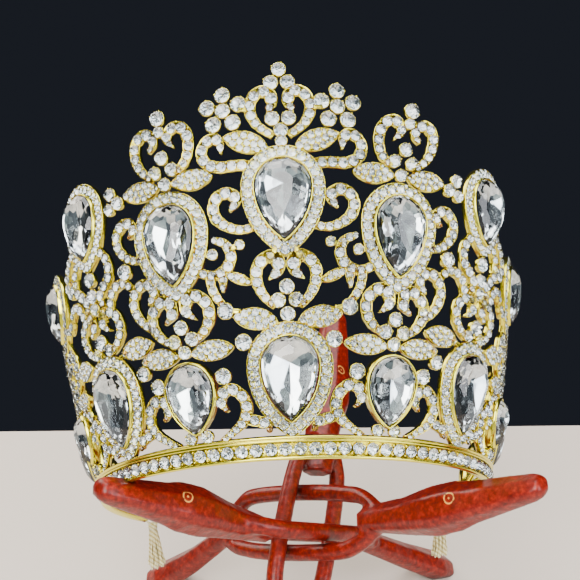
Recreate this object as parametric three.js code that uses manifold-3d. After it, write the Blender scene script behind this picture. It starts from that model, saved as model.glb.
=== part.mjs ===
// A tall flared pageant tiara, leaning back on a stand of three carved limbs.
// Millimetres, +Z up, the front of the tiara towards -Y, the origin on the floor below the middle.
import * as THREE from 'three';
import { mergeVertices } from 'three/addons/utils/BufferGeometryUtils.js';
import Module from 'manifold-3d';

const wasm = await Module();
wasm.setup();

// ---------------------------------------------------------------- driving dimensions

const BAND_RADIUS = 80;        // inner radius of the band at its lower edge
const FLARE = 0.387;           // growth of the radius for each mm up the slant
const FLARE_CURVE = -0.001;    // and how the flare eases towards the top
const SIDE_EASE = { from: THREE.MathUtils.degToRad(36), to: THREE.MathUtils.degToRad(86), flareLeft: 0.13, flareRight: 0.27, radius: 1 };
const PANEL_PITCH = THREE.MathUtils.degToRad(23.3);
const BAND_END = THREE.MathUtils.degToRad(120);
const LEAN = THREE.MathUtils.degToRad(45.8);   // how far the tiara leans back on the stand
const SEAT_HEIGHT = 86.8;      // height of the band's centre above the floor
const CENTRING = new THREE.Vector3(1.59, -20.787, 0);

const PLATE = 2.2;             // thickness of the cast openwork
const LEAF_PLATE = 2.6;
const RING_PLATE = 2.6;        // halo rings and collets stand prouder
const BEAD_HEIGHT = 3.6;       // small set stones, cast in one with their cups
const CLEARANCE = 0.3;         // gap between a stone and its setting
const HALO = 5.3;              // width of the stone-set ring round a large pear
const COLLET = 1.1;            // width of the plain ring round a small pear

const BAND = { rail: 1.3, channelTop: 6.3, top: 8.4, back: -0.4, floor: 2.0, face: 3.4 };
const BAND_STEPS = 26;
const SOLDER = 0.5;            // how far a cup's foot spreads into its neighbours

const GOLD = { color: '#D9A83A', roughness: 0.28, metalness: 1.0 };
const CRYSTAL = { color: '#EEF3F4', roughness: 0.05, metalness: 0.0 };
const LACQUER = { color: '#9A2B1B', roughness: 0.35, metalness: 0.0 };
const THREAD = { color: '#E6DC9C', roughness: 0.8, metalness: 0.0 };

// ---------------------------------------------------------------- solids

/** Turns a closed geometry into a solid that can be joined and cut. */
function solid(geometry) {
  geometry.deleteAttribute('normal');
  geometry.deleteAttribute('uv');
  const merged = mergeVertices(geometry, 1e-4);
  const index = merged.index.array;
  const mesh = new wasm.Mesh({
    numProp: 3,
    vertProperties: new Float32Array(merged.attributes.position.array),
    triVerts: new Uint32Array(index),
  });
  return new wasm.Manifold(mesh);
}

/** Gives a solid's triangles back as a geometry, after moving each corner by bend. */
function geometryOf(body, bend = (corner) => corner) {
  const mesh = body.getMesh();
  const positions = [];
  for (let i = 0; i < mesh.vertProperties.length; i += mesh.numProp) {
    const corner = new THREE.Vector3(...mesh.vertProperties.slice(i, i + 3));
    positions.push(...bend(corner).toArray());
  }
  const geometry = new THREE.BufferGeometry();
  geometry.setAttribute('position', new THREE.Float32BufferAttribute(positions, 3));
  geometry.setIndex([...mesh.triVerts]);
  return geometry;
}

/** Joins a list of solids two by two. */
function union(solids) {
  if (solids.length === 1) return solids[0];
  const half = Math.ceil(solids.length / 2);
  return union(solids.slice(0, half)).add(union(solids.slice(half)));
}

/** Skins a row of rings of corners and closes both ends. */
function loft(rings, profile = null) {
  const count = rings[0].length;
  const index = [];
  for (let r = 0; r + 1 < rings.length; r++) {
    for (let i = 0; i < count; i++) {
      const a = r * count + i;
      const b = r * count + (i + 1) % count;
      index.push(a, b, b + count, a, b + count, a + count);
    }
  }
  const last = (rings.length - 1) * count;
  const cap = profile
    ? THREE.ShapeUtils.triangulateShape(profile, [])
    : rings[0].slice(2).map((_, i) => [0, i + 1, i + 2]);
  for (const [a, b, c] of cap) {
    index.push(c, b, a, last + a, last + b, last + c);
  }
  const geometry = new THREE.BufferGeometry();
  const positions = rings.flat().flatMap((corner) => corner.toArray());
  geometry.setAttribute('position', new THREE.Float32BufferAttribute(positions, 3));
  geometry.setIndex(index);
  return geometry;
}

// ---------------------------------------------------------------- the flared surface

/** Radius of the flared surface at a slant height s. */
function radiusAt(s) {
  return BAND_RADIUS + FLARE * s + FLARE_CURVE * s * s;
}

/** The frame of the surface at an angle from the front and a slant height. The sides flare less. */
function surfaceFrame(angle, s) {
  const ease = THREE.MathUtils.smoothstep(Math.abs(angle), SIDE_EASE.from, SIDE_EASE.to);
  const flare = FLARE * (1 - (angle > 0 ? SIDE_EASE.flareRight : SIDE_EASE.flareLeft) * ease);
  const sine = flare + 2 * FLARE_CURVE * s;
  const cosine = Math.sqrt(1 - sine * sine);
  const height = s * Math.sqrt(1 - (flare + FLARE_CURVE * s) ** 2);
  const radius = BAND_RADIUS - SIDE_EASE.radius * ease + flare * s + FLARE_CURVE * s * s;
  const outward = new THREE.Vector3(Math.sin(angle), -Math.cos(angle), 0);
  const point = outward.clone().multiplyScalar(radius).setZ(height);
  const along = new THREE.Vector3(Math.cos(angle), Math.sin(angle), 0);
  const up = outward.clone().multiplyScalar(sine).setZ(cosine);
  const normal = outward.clone().multiplyScalar(cosine).setZ(-sine);
  return { point, along, up, normal };
}

/** The point at an angle, a slant height and a depth outward from the surface. */
function onSurface(angle, s, n) {
  const { point, normal } = surfaceFrame(angle, s);
  return point.addScaledVector(normal, n);
}

// The finials of the second panels are bent outward, the right one more.
const BENT = { from: 104, left: 0.04, right: 0.18 };
const bentAside = (index, s) => (Math.abs(index) === 1 ? (index > 0 ? BENT.right : -BENT.left) : 0) * Math.max(0, s - BENT.from);

// The openwork is joined flat, with the angle laid out along x, and then bent round.
const bendRound = (corner) => onSurface(corner.x / BAND_RADIUS, corner.y, corner.z);
const flatX = (angle, u, s) => (angle + u / radiusAt(s)) * BAND_RADIUS;

// ---------------------------------------------------------------- outlines of the motifs

/** Rows of a stroke: v across the panel, s up the slant, and the width there. */
const stroke = (...rows) => rows.map(([v, s, width]) => ({ v, s, width }));
/** Rows of round stones: centre and diameter. */
const rounds = (...rows) => rows.map(([v, s, diameter]) => ({ v, s, diameter }));

/** Outline of a scroll that follows its rows and ends in a point where its width is small. */
function scrollOutline(rows) {
  const path = new THREE.CatmullRomCurve3(
    rows.map(({ v, s, width }) => new THREE.Vector3(v, s, width)), false, 'centripetal');
  const steps = Math.max(Math.min(4, rows.length - 1), rows.length - 3);
  const left = [];
  const right = [];
  for (let i = 0; i <= steps; i++) {
    const { x, y, z: width } = path.getPoint(i / steps);
    const ahead = path.getPoint(Math.min(1, i / steps + 0.01));
    const behind = path.getPoint(Math.max(0, i / steps - 0.01));
    const heading = new THREE.Vector2(ahead.x - behind.x, ahead.y - behind.y).normalize();
    const side = new THREE.Vector2(-heading.y, heading.x).multiplyScalar(width / 2);
    const centre = new THREE.Vector2(x, y);
    left.push(centre.clone().add(side));
    if (width > 1) right.unshift(centre.clone().sub(side));
  }
  return [...left, ...right];
}

/** Outline of a pointed leaf, its tip at the angle from the v axis. */
function leafOutline({ v, s, length, width, angle }) {
  const side = (sign) => [-1, -0.55, 0, 0.55].map((x) =>
    new THREE.Vector2(sign * x * length / 2, sign * (1 - x * x) ** 0.75 * width / 2));
  return [...side(1), ...side(-1)].map((point) =>
    point.rotateAround(new THREE.Vector2(), angle).add(new THREE.Vector2(v, s)));
}

/** Outline of a round with a number of flats, measured across the flats. */
function roundOutline({ v, s, diameter }, sides = 8) {
  const reach = diameter / 2 / Math.cos(Math.PI / sides);
  return Array.from({ length: sides }, (_, i) => {
    const angle = (i + 0.5) / sides * 2 * Math.PI;
    return new THREE.Vector2(v + Math.cos(angle) * reach, s + Math.sin(angle) * reach);
  });
}

/** Outline of a cluster of stones: lobes with notches between, the first lobe at the turn. */
function clusterOutline({ v, s, reach = 6.2, notch = 4.4, lobes = 3, turn }) {
  return Array.from({ length: 2 * lobes }, (_, i) =>
    new THREE.Vector2(i % 2 ? notch : reach, 0)
      .rotateAround(new THREE.Vector2(), turn + Math.PI * i / lobes)
      .add(new THREE.Vector2(v, s)));
}

/** Outline of a pear: a round top, and two sides that meet in a tip below. */
function pearOutline({ width, height, tip }, offset, sideSteps = 3, topSteps = 8) {
  const top = width / 2;
  const drop = height - top;
  const bow = (top * top + drop * drop) / (2 * top);
  const spread = Math.acos((bow - top) / (bow + offset));
  const points = [];
  for (let i = 0; i < sideSteps; i++) {
    const angle = -spread * (1 - i / sideSteps);
    points.push([top - bow + (bow + offset) * Math.cos(angle), (bow + offset) * Math.sin(angle)]);
  }
  for (let i = 0; i <= topSteps; i++) {
    const angle = Math.PI * i / topSteps;
    points.push([(top + offset) * Math.cos(angle), (top + offset) * Math.sin(angle)]);
  }
  for (let i = sideSteps - 1; i > 0; i--) {
    points.push([-points[i][0], points[i][1]]);
  }
  return points.map(([v, s]) => new THREE.Vector2(v, s + tip + drop));
}

// ---------------------------------------------------------------- one panel of the openwork

/** Collects the motifs of one panel, laid out flat. Positive v is towards the front centre. */
class Panel {
  constructor(index) {
    this.index = index;
    this.angle = index * PANEL_PITCH;
    this.inward = index > 0 ? -1 : 1;
    this.solids = [];
    this.wells = [];
  }

  flat(outline, sign) {
    return outline.map(({ x, y }) =>
      new THREE.Vector2(flatX(this.angle, this.inward * sign * x + bentAside(this.index, y), y), y));
  }

  plate(outline, sign, top, bottom = 0) {
    const shape = new THREE.Shape(this.flat(outline, sign));
    const geometry = new THREE.ExtrudeGeometry(shape, { depth: top - bottom, bevelEnabled: false });
    return solid(geometry.translate(0, 0, bottom));
  }

  /** Adds strokes on the inner side (1), on the outer side (-1) or on both. */
  scrolls(sides, ...strokes) {
    for (const rows of strokes) {
      for (const sign of sides) this.solids.push(this.plate(scrollOutline(rows), sign, PLATE));
    }
  }

  leaves(sides, leaf) {
    for (const sign of sides) this.solids.push(this.plate(leafOutline(leaf), sign, LEAF_PLATE));
  }

  /** Adds clusters of small stones, each on one lobed plate. */
  clusters(sides, ...rows) {
    for (const row of rows) {
      for (const sign of sides) this.solids.push(this.plate(clusterOutline(row), sign, PLATE));
    }
  }

  /** Adds short straight solder bridges, each from one v, s to another. */
  bridges(sides, ...ends) {
    for (const [v1, s1, v2, s2] of ends) {
      this.scrolls(sides, stroke([v1, s1, 2], [v2, s2, 2]));
    }
  }

  /** Adds flat round cups, which carry main stones. */
  cups(sides, discs) {
    for (const { v, s, diameter } of discs) {
      const outline = roundOutline({ v, s, diameter: diameter + 2 * SOLDER });
      for (const sign of sides) this.solids.push(this.plate(outline, sign, PLATE));
    }
  }

  /** Adds small stones in one with their cups, eight facets that lean in to a flat table. */
  beads(sides, discs) {
    for (const { v, s, diameter } of discs) {
      for (const sign of sides) {
        const middle = { v: this.inward * sign * v, s };
        const ring = (across, n) => roundOutline({ ...middle, diameter: across })
          .map(({ x, y }) => new THREE.Vector3(flatX(this.angle, x + bentAside(this.index, s), y), y, n));
        this.solids.push(solid(loft([ring(diameter + 2 * SOLDER, 0), ring(diameter * 0.6, BEAD_HEIGHT)])));
      }
    }
  }

  /** Adds the ring round a pear and the well that its stone drops into. */
  pear(stone, ring) {
    this.solids.push(this.plate(pearOutline(stone, ring), 1, RING_PLATE));
    this.wells.push(this.plate(pearOutline(stone, CLEARANCE), 1, RING_PLATE + 1, -1));
  }
}

const DOWN = -Math.PI / 2;
const UP = Math.PI / 2;
const INNER = [1];
const OUTER = [-1];
const BOTH = [1, -1];

// ---------------------------------------------------------------- tables of the motifs
// v is measured from the panel's centre line, s up the slant from the band's lower edge.

const PEARS = {
  large: { width: 20, height: 30 },
  middle: { width: 18, height: 25 },
  broad: { width: 19.4, height: 26.4 },
  small: { width: 14, height: 19 },
};

const HEART_A = stroke([4.4, 54.2, 2.4], [8.2, 58.5, 3.4], [10.4, 63.5, 4], [10.3, 68.5, 4.4],
  [7.2, 72.2, 4.6], [3.6, 72, 5.2], [2.7, 67.6, 4.2], [6.4, 64.1, 0.6]);
const SIDE_A = stroke([11, 83.6, 3], [15.5, 83, 3.2], [20.5, 84.6, 3.6], [24.6, 88.2, 4.2],
  [25.6, 92.6, 4.4], [23.6, 96.4, 4.4], [19.8, 97, 4.4], [16.9, 94.2, 4.2], [19.6, 90, 0.6]);
const WING_A = stroke([12, 106.8, 3.8], [17.5, 107.2, 4.2], [23, 107.2, 4.3], [27.8, 109.2, 4.3],
  [29.6, 113.2, 4.3], [28.4, 117, 4.3], [25, 118.6, 4.3], [22.6, 116.4, 3.6], [22.2, 112.3, 0.6]);
const FINIAL_A = stroke([3, 117.4, 2.8], [8, 121.2, 3.4], [10.6, 125.5, 4.2], [10.9, 130.3, 4.4],
  [8, 134.6, 4.6], [4.2, 134.4, 4.8], [3, 130.2, 4.2], [4.8, 126.6, 0.6]);
const BASE_SPRIG = stroke([15.6, 15, 3.6], [12, 14.2, 4], [8.9, 13, 3.8], [7.6, 10.2, 0.6]);

const FOOT_SCROLL = stroke([8.5, 8, 2.4], [13.2, 11, 2.8], [17.2, 14, 3.6], [19.6, 18.4, 4.2],
  [19, 23.2, 4.3], [15.6, 26.2, 4.4], [11.9, 25.2, 4.2], [10.6, 22.2, 3.8], [12.8, 18.3, 0.6]);
const HEART_B = stroke([4.8, 45.2, 2.6], [9, 48.6, 3.6], [11.4, 53, 4.4], [11.2, 57.6, 4.6],
  [7.6, 61.2, 4.6], [3.8, 60.8, 5.2], [2.8, 56.5, 4.2], [6.3, 52.8, 0.6]);
const FINIAL_B = stroke([4.8, 107.6, 2.8], [9.6, 112.5, 3.8], [11.4, 118, 4.4], [10.6, 123.6, 4.6],
  [7, 126.3, 4.6], [3.7, 124.4, 4.2], [3, 121.6, 3.6], [5.4, 118.4, 0.6]);
const SIDE_B = stroke([12, 78.8, 2.8], [16.5, 79.4, 3.2], [21, 82, 3.8], [24, 86.4, 4.2],
  [24, 91, 4.4], [20.8, 94.2, 4.4], [17.2, 93.6, 4.2], [15.8, 91, 3.8], [18.2, 88, 0.6]);
const SPRIG_B = stroke([10.6, 51.4, 2.6], [14.6, 54.2, 3.2], [18, 58.6, 4], [19.2, 63.6, 4.2],
  [17, 68.4, 4.2], [13.2, 69.6, 4.2], [10, 67.6, 4], [9.6, 64.9, 3.6], [12.3, 61.4, 0.6]);
const RING_B = stroke([9.2, 69.6, 3.2], [15.5, 67.5, 3.8], [20, 69.4, 4.2], [22.4, 73.8, 4],
  [20.8, 78.4, 3.4], [17, 80.3, 2.6]);
const STEM_B = stroke([13.6, 67.6, 3.2], [14, 63, 3.4], [15.4, 59.2, 3.2], [17.4, 56.2, 2.6]);
const SPUR_B = stroke([18.4, 68, 3.4], [18.3, 65, 3.2], [17.6, 61, 0.6]);
const HEART_C = stroke([5, 48.8, 3], [9.6, 51.8, 3.6], [12.5, 56, 4.2], [12.4, 60.4, 4.4],
  [9, 63.8, 4.4], [4.4, 64.2, 4.6], [3.2, 60.4, 4], [6.6, 57, 0.6]);
const ARM_C = stroke([22.6, 69.2, 3], [18.5, 72.4, 3.8], [13.6, 71.8, 4], [10.6, 68.4, 3.8],
  [9.2, 63.8, 3.4]);
const FROND_C = stroke([7.6, 89, 3.6], [12, 83.4, 4.2], [11.8, 77.6, 4.4], [8, 74.2, 4.6],
  [4.6, 70.8, 4.6], [6, 66.8, 0.6]);
const SIDE_C = stroke([10.2, 94, 3.4], [15.6, 90.8, 3.8], [20, 86.2, 4.2], [20.6, 81.6, 4.4], [17.4, 78.6, 4.4],
  [14.8, 80.4, 3.6], [16.6, 84, 0.6]);

// ---------------------------------------------------------------- main stones

const stones = [];

/** Notes a main stone, to be cut and set once the metal is made. */
function setStone(name, index, v, s, cut) {
  const inward = index > 0 ? -1 : 1;
  stones.push({ name, angle: index * PANEL_PITCH + (inward * v + bentAside(index, s)) / radiusAt(s), s, cut });
}

/** Adds a cup on each given side and the round stone in it. */
function roundStones(panel, name, index, sides, v, s, diameter) {
  panel.cups(sides, rounds([v, s, diameter]));
  for (const sign of sides) {
    const suffix = sides.length > 1 ? (sign > 0 ? '_near' : '_far') : '';
    setStone(`${name}${suffix}`, index, sign * v, s, { diameter: diameter - 0.5 });
  }
}

/** Adds a pear's ring and the pear in it. */
function pearStone(panel, name, index, pear, ring) {
  panel.pear(pear, ring);
  setStone(name, index, 0, pear.tip + pear.height - pear.width / 2, pear);
}

// ---------------------------------------------------------------- the kinds of panel

/** The tall centre panel. */
function centrePanel() {
  const panel = new Panel(0);
  pearStone(panel, 'pear_centre_upper', 0, { ...PEARS.large, tip: 78.3 }, HALO);
  pearStone(panel, 'pear_centre_lower', 0, { ...PEARS.large, tip: 13.7 }, HALO);
  panel.scrolls(BOTH, HEART_A, SIDE_A, WING_A, FINIAL_A, BASE_SPRIG);
  panel.bridges(BOTH, [5, 72, 3, 76.4], [12, 128.4, 15.6, 129]);
  panel.leaves(BOTH, { v: 11.5, s: 50.5, length: 16.4, width: 8.2, angle: 0.18 });
  panel.leaves(BOTH, { v: 13, s: 115.6, length: 17.4, width: 8.4, angle: 0.33 });
  panel.clusters(INNER, { v: 0, s: 54.8, turn: DOWN }, { v: 0, s: 122.4, turn: DOWN });
  panel.clusters(BOTH, { v: 21.2, s: 128.8, reach: 8.6, notch: 6.4, lobes: 5, turn: UP });
  panel.beads(INNER, rounds([0, 116.4, 6.4]));
  panel.beads(BOTH, rounds([21.2, 128.8, 5.6]));
  roundStones(panel, 'round_centre_heart', 0, INNER, 0, 61.4, 5.6);
  roundStones(panel, 'round_centre_top', 0, INNER, 0, 143.4, 5.8);
  roundStones(panel, 'round_centre_shoulder', 0, BOTH, 3.1, 138.2, 5.8);
  roundStones(panel, 'round_link_upper', 0, BOTH, 22.1, 54.2, 6.2);
  roundStones(panel, 'round_link_lower', 0, BOTH, 16, 42.5, 6.2);
  return panel;
}

/** The second panels: a plain-set pear below, a haloed pear and a finial above. */
function secondPanel(index, side) {
  const panel = new Panel(index);
  pearStone(panel, `pear_second_upper_${side}`, index, { ...PEARS.large, tip: 66.3 }, HALO);
  pearStone(panel, `pear_second_lower_${side}`, index, { ...PEARS.middle, tip: 12.2 }, COLLET);
  panel.scrolls(BOTH, FOOT_SCROLL, HEART_B, FINIAL_B);
  panel.scrolls(INNER, RING_B, STEM_B, SPUR_B, stroke([11, 76, 2.6], [16, 75.2, 4.2]));
  panel.scrolls(INNER, stroke([22, 76.4, 2.2], [26.2, 77.6, 3.6]));
  panel.scrolls(OUTER, SIDE_B, SPRIG_B);
  panel.leaves(BOTH, { v: 10.6, s: 41, length: 16.8, width: 7.8, angle: 0.05 });
  panel.leaves(BOTH, { v: 10.8, s: 104.2, length: 16.6, width: 8.2, angle: 0.03 });
  panel.leaves(INNER, { v: 24.2, s: 65.4, length: 10.6, width: 4.2, angle: -0.45 });
  panel.leaves(INNER, { v: 0, s: 10.4, length: 12, width: 5.6, angle: 0 });
  panel.clusters(INNER, { v: 0, s: 44.2, turn: DOWN }, { v: 0, s: 107.6, turn: DOWN });
  panel.beads(INNER, rounds([0, 125.6, 5.2]));
  roundStones(panel, `round_second_heart_${side}`, index, INNER, 0, 50.7, 5.6);
  roundStones(panel, `round_second_crown_${side}`, index, INNER, 0, 115, 5.6);
  roundStones(panel, `round_second_top_${side}`, index, INNER, 0, 131, 6.4);
  roundStones(panel, `round_second_foot_${side}`, index, BOTH, 13.2, 31.2, 6);
  roundStones(panel, `round_second_outer_${side}`, index, OUTER, 18.9, 37.2, 5.8);
  roundStones(panel, `round_second_sprig_${side}`, index, OUTER, 21.6, 76.2, 6.2);
  return panel;
}

/** The third panels: two haloed pears with a heart between, and no finial. */
function thirdPanel(index, side) {
  const panel = new Panel(index);
  pearStone(panel, `pear_third_upper_${side}`, index, { ...PEARS.broad, tip: 87 }, HALO - 0.6);
  pearStone(panel, `pear_third_lower_${side}`, index, { ...PEARS.large, tip: 13.1 }, HALO);
  panel.scrolls(BOTH, HEART_C, ARM_C, FROND_C, BASE_SPRIG);
  panel.leaves(BOTH, { v: 18.4, s: 47.2, length: 16, width: 8.2, angle: 0.1 });
  panel.bridges(BOTH, [8, 45.4, 12.6, 46.8], [5.6, 62.6, 1.2, 66.6]);
  panel.scrolls(OUTER, SIDE_C);
  panel.beads(INNER, rounds([0, 67, 5.6], [0, 72.4, 6], [0, 79, 6.4]));
  panel.clusters(INNER, { v: 0, s: 51, turn: UP }, { v: 19.9, s: 104.2, turn: 0 });
  roundStones(panel, `round_third_heart_${side}`, index, INNER, 0, 53.8, 6.4);
  return panel;
}

/** The fourth panels: like the second, lower and without a finial. */
function fourthPanel(index, side) {
  const panel = new Panel(index);
  const lower = ({ v, s, width }) => ({ v, s: s - 3, width });
  pearStone(panel, `pear_fourth_upper_${side}`, index, { ...PEARS.middle, tip: 66 }, HALO - 0.8);
  pearStone(panel, `pear_fourth_lower_${side}`, index, { ...PEARS.small, tip: 14.4 }, COLLET);
  panel.scrolls(BOTH, FOOT_SCROLL, HEART_B.map(lower), stroke([6, 31, 3.4], [10, 34, 3.6], [13.5, 29, 3.2]));
  panel.scrolls(INNER, stroke([18.6, 69, 3.4], [14, 66.4, 3.8], [8.6, 67.8, 3.2]));
  panel.scrolls(OUTER, SPRIG_B.map(lower), stroke([5.6, 60, 3], [9.8, 63, 3.2]));
  panel.bridges(BOTH, [5.2, 57.4, 3.6, 65.4]);
  panel.leaves(BOTH, { v: 10, s: 37.2, length: 15, width: 7.4, angle: 0.05 });
  panel.clusters(INNER, { v: 0, s: 40.2, turn: DOWN });
  panel.beads(INNER, rounds([0, 47, 5.4], [0, 10.4, 5.8]));
  return panel;
}

/** The fifth panels, low ones beside the temples. */
function fifthPanel(index, side) {
  const panel = new Panel(index);
  pearStone(panel, `pear_fifth_lower_${side}`, index, { ...PEARS.middle, tip: 13.1 }, HALO - 0.8);
  panel.scrolls(BOTH, BASE_SPRIG, HEART_C.map(({ v, s, width }) => ({ v, s: s - 5.4, width })));
  panel.leaves(BOTH, { v: 16.4, s: 41.6, length: 15, width: 7.6, angle: 0.1 });
  panel.bridges(BOTH, [6, 40, 11, 41.2]);
  panel.clusters(INNER, { v: 0, s: 45.2, turn: UP });
  return panel;
}

/** The low scroll that runs the openwork out to the band's end. */
function endPanel(index) {
  const panel = new Panel(index);
  panel.scrolls(INNER, FOOT_SCROLL, stroke([13.6, 26.6, 2.4], [13.2, 30.4, 2.4]));
  panel.leaves(INNER, { v: 7.4, s: 13.4, length: 12, width: 6.4, angle: -1.2 });
  panel.beads(INNER, rounds([13.2, 31.4, 5.6]));
  return panel;
}

// ---------------------------------------------------------------- the metal frame

/** The band: two smooth rails with a channel for a row of round stones. */
function bandSolid(grow = 0) {
  const { rail, channelTop, top, back, floor, face } = BAND;
  const profile = [[0, back], [top, back], [top, face], [channelTop, face],
    [channelTop, floor], [rail, floor], [rail, face], [0, face]];
  const hull = [[-grow, back - grow], [top + grow, back - grow], [top + grow, face + grow], [-grow, face + grow]];
  const corners = (grow > 0 ? hull : profile).map(([s, n]) => new THREE.Vector2(s, n));
  const rings = Array.from({ length: BAND_STEPS + 1 }, (_, i) => {
    const angle = BAND_END * (2 * i / BAND_STEPS - 1);
    return corners.map(({ x: s, y: n }) => onSurface(angle, s, n));
  });
  return solid(loft(rings, corners));
}

const END_LOOP = { reach: 3.2, outer: 3.4, hole: 1.8, low: 0.6, high: 2.4, s: 4.2 };

/** The loop at an end of the band. */
function endLoop(sign) {
  const angle = sign * (BAND_END + END_LOOP.reach / BAND_RADIUS);
  const { point, along, up, normal } = surfaceFrame(angle, END_LOOP.s);
  const outline = (radius) => roundOutline({ v: 0, s: 0, diameter: 2 * radius }, 12);
  const shape = new THREE.Shape(outline(END_LOOP.outer));
  shape.holes.push(new THREE.Path(outline(END_LOOP.hole)));
  const depth = END_LOOP.high - END_LOOP.low;
  const geometry = new THREE.ExtrudeGeometry(shape, { depth, bevelEnabled: false });
  geometry.translate(0, 0, END_LOOP.low);
  geometry.applyMatrix4(new THREE.Matrix4().makeBasis(along, up, normal).setPosition(point));
  return solid(geometry);
}

/** Joins the openwork, the band and the end loops into one soldered solid. */
function frameGeometry(panels) {
  const openwork = union(panels.flatMap((panel) => panel.solids));
  const pierced = openwork.subtract(union(panels.flatMap((panel) => panel.wells)));
  const bent = solid(geometryOf(pierced, bendRound));
  return geometryOf(union([bent, bandSolid(), endLoop(1), endLoop(-1)]));
}

// ---------------------------------------------------------------- cut stones

const PEAR_CUT = { back: 0.6, girdle: 4, table: 7.8, tableScale: 0.58 };
const ROUND_CUT = { back: PLATE + CLEARANCE, girdle: 1.1, table: 2.5, tableScale: 0.58 };

/** A pear with a flat back, a girdle, a ring of crown facets and a table. */
function pearGeometry(pear) {
  const { back, girdle, table, tableScale } = PEAR_CUT;
  const centred = { ...pear, tip: pear.width / 2 - pear.height };
  const outline = pearOutline(centred, 0, 3, 8);
  const level = (scale, n) => outline.map(({ x, y }) => new THREE.Vector3(x * scale, y * scale, n));
  return loft([level(0.9, back), level(1, girdle), level(tableScale, table)]);
}

/** A round stone with a flat back, a girdle, eight crown facets and a table. */
function roundGeometry(diameter) {
  const { back, girdle, table, tableScale } = ROUND_CUT;
  const outline = roundOutline({ v: 0, s: 0, diameter });
  const level = (scale, n) => outline.map(({ x, y }) => new THREE.Vector3(x * scale, y * scale, n));
  return loft([level(1, back), level(1, back + girdle), level(tableScale, back + table)]);
}

// ---------------------------------------------------------------- tassels

const TASSEL_HANG = { inward: 1, rise: 0.3 };   // the thread ring's top, from the middle of the loop's hole
const TASSEL = { ring: 3.2, wire: 0.5, head: 2.2, headLength: 5.5, length: 25, locks: 5, spread: 2.6 };

/** A thread ring, a bound head and locks of thread that end in small knots. Its ring's top is at the origin. */
function tasselGeometry() {
  const { ring, wire, head, headLength, length, locks, spread } = TASSEL;
  const loop = solid(new THREE.TorusGeometry(ring, wire, 5, 9).translate(0, -ring, 0).rotateX(Math.PI / 2));
  const levels = (rows, sides, middle) => rows.map(([z, radius, lean]) =>
    Array.from({ length: sides }, (_, i) => {
      const angle = -i / sides * 2 * Math.PI;
      return new THREE.Vector3(middle.x * lean + radius * Math.cos(angle),
        middle.y * lean + radius * Math.sin(angle), z);
    }));
  const start = -2 * ring + 0.6;
  const knob = solid(loft(levels([[start, head * 0.55, 1], [start - 1.6, head, 1],
    [start - headLength, head * 0.85, 1]], 8, { x: 0, y: 0 })));
  const strands = Array.from({ length: locks }, (_, i) => {
    const angle = i / locks * 2 * Math.PI;
    const middle = { x: Math.cos(angle), y: Math.sin(angle) };
    const rows = [[start - headLength + 1, 0.9, 1], [start - length + 4, 1.2, spread],
      [start - length + 2.6, 0.8, spread], [start - length + 1.4, 1.2, spread],
      [start - length, 0.6, spread]];
    return solid(loft(levels(rows, 5, middle)));
  });
  return geometryOf(union([loop, knob, ...strands]));
}

// ---------------------------------------------------------------- the stand

// Each limb runs straight from its foot on the floor to its head, and opens in the middle into
// an eye of two bars that the other limbs pass through. shift and lift move the eye off the axis.
const LIMBS = [
  { name: 'stand_limb_left', foot: [73, 57, 0], head: [-74.1, -44.6, 127], toe: -3,
    sway: [-5.2, 3, -0.7, -2], half: 12.6, roll: 29 },
  { name: 'stand_limb_right', foot: [-72.6, 57.7, 0], head: [93.7, -46.8, 122], toe: -3,
    sway: [6.4, 13.3, 5.5, 2], half: 12.9, roll: 41 },
  { name: 'stand_limb_back', foot: [-4, -66, 0], head: [24, 118, 118], toe: -13.14,
    sway: [6.5, 3.2, 1.6, 4.6], half: 12.7, roll: 45 },
];
const EYE = { low: 56, high: 150, straightLow: 74, straightHigh: 128, bar: 3.96 };
const SWAY = { from: 8, low: 72, high: 130, to: 176 };   // where the limb bows from its straight line
const HEAD_ROWS = [[0, 3.8, 3.2], [2.5, 5.6, 4.8], [36, 9.4, 8.4],
  [50, 10.4, 9.8], [68, 8.6, 8], [92, 6.8, 5]];
const FOOT_ROWS = [[0, 8.6, 6.4], [9, 9.4, 6.8], [30, 7.6, 6], [66, 6.8, 4.8]];   // back from the toe

/** How far a limb's middle line lies beside and above its straight line, at one distance along. */
function swayAt([sideLow, riseLow, sideHigh, riseHigh], along) {
  if (along <= SWAY.low) {
    const ease = THREE.MathUtils.smoothstep(along, SWAY.from, SWAY.low);
    return [sideLow * ease, riseLow * ease];
  }
  if (along >= SWAY.high) {
    const ease = 1 - THREE.MathUtils.smoothstep(along, SWAY.high, SWAY.to);
    return [sideHigh * ease, riseHigh * ease];
  }
  const t = (along - SWAY.low) / (SWAY.high - SWAY.low);
  return [THREE.MathUtils.lerp(sideLow, sideHigh, t), THREE.MathUtils.lerp(riseLow, riseHigh, t)];
}

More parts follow.
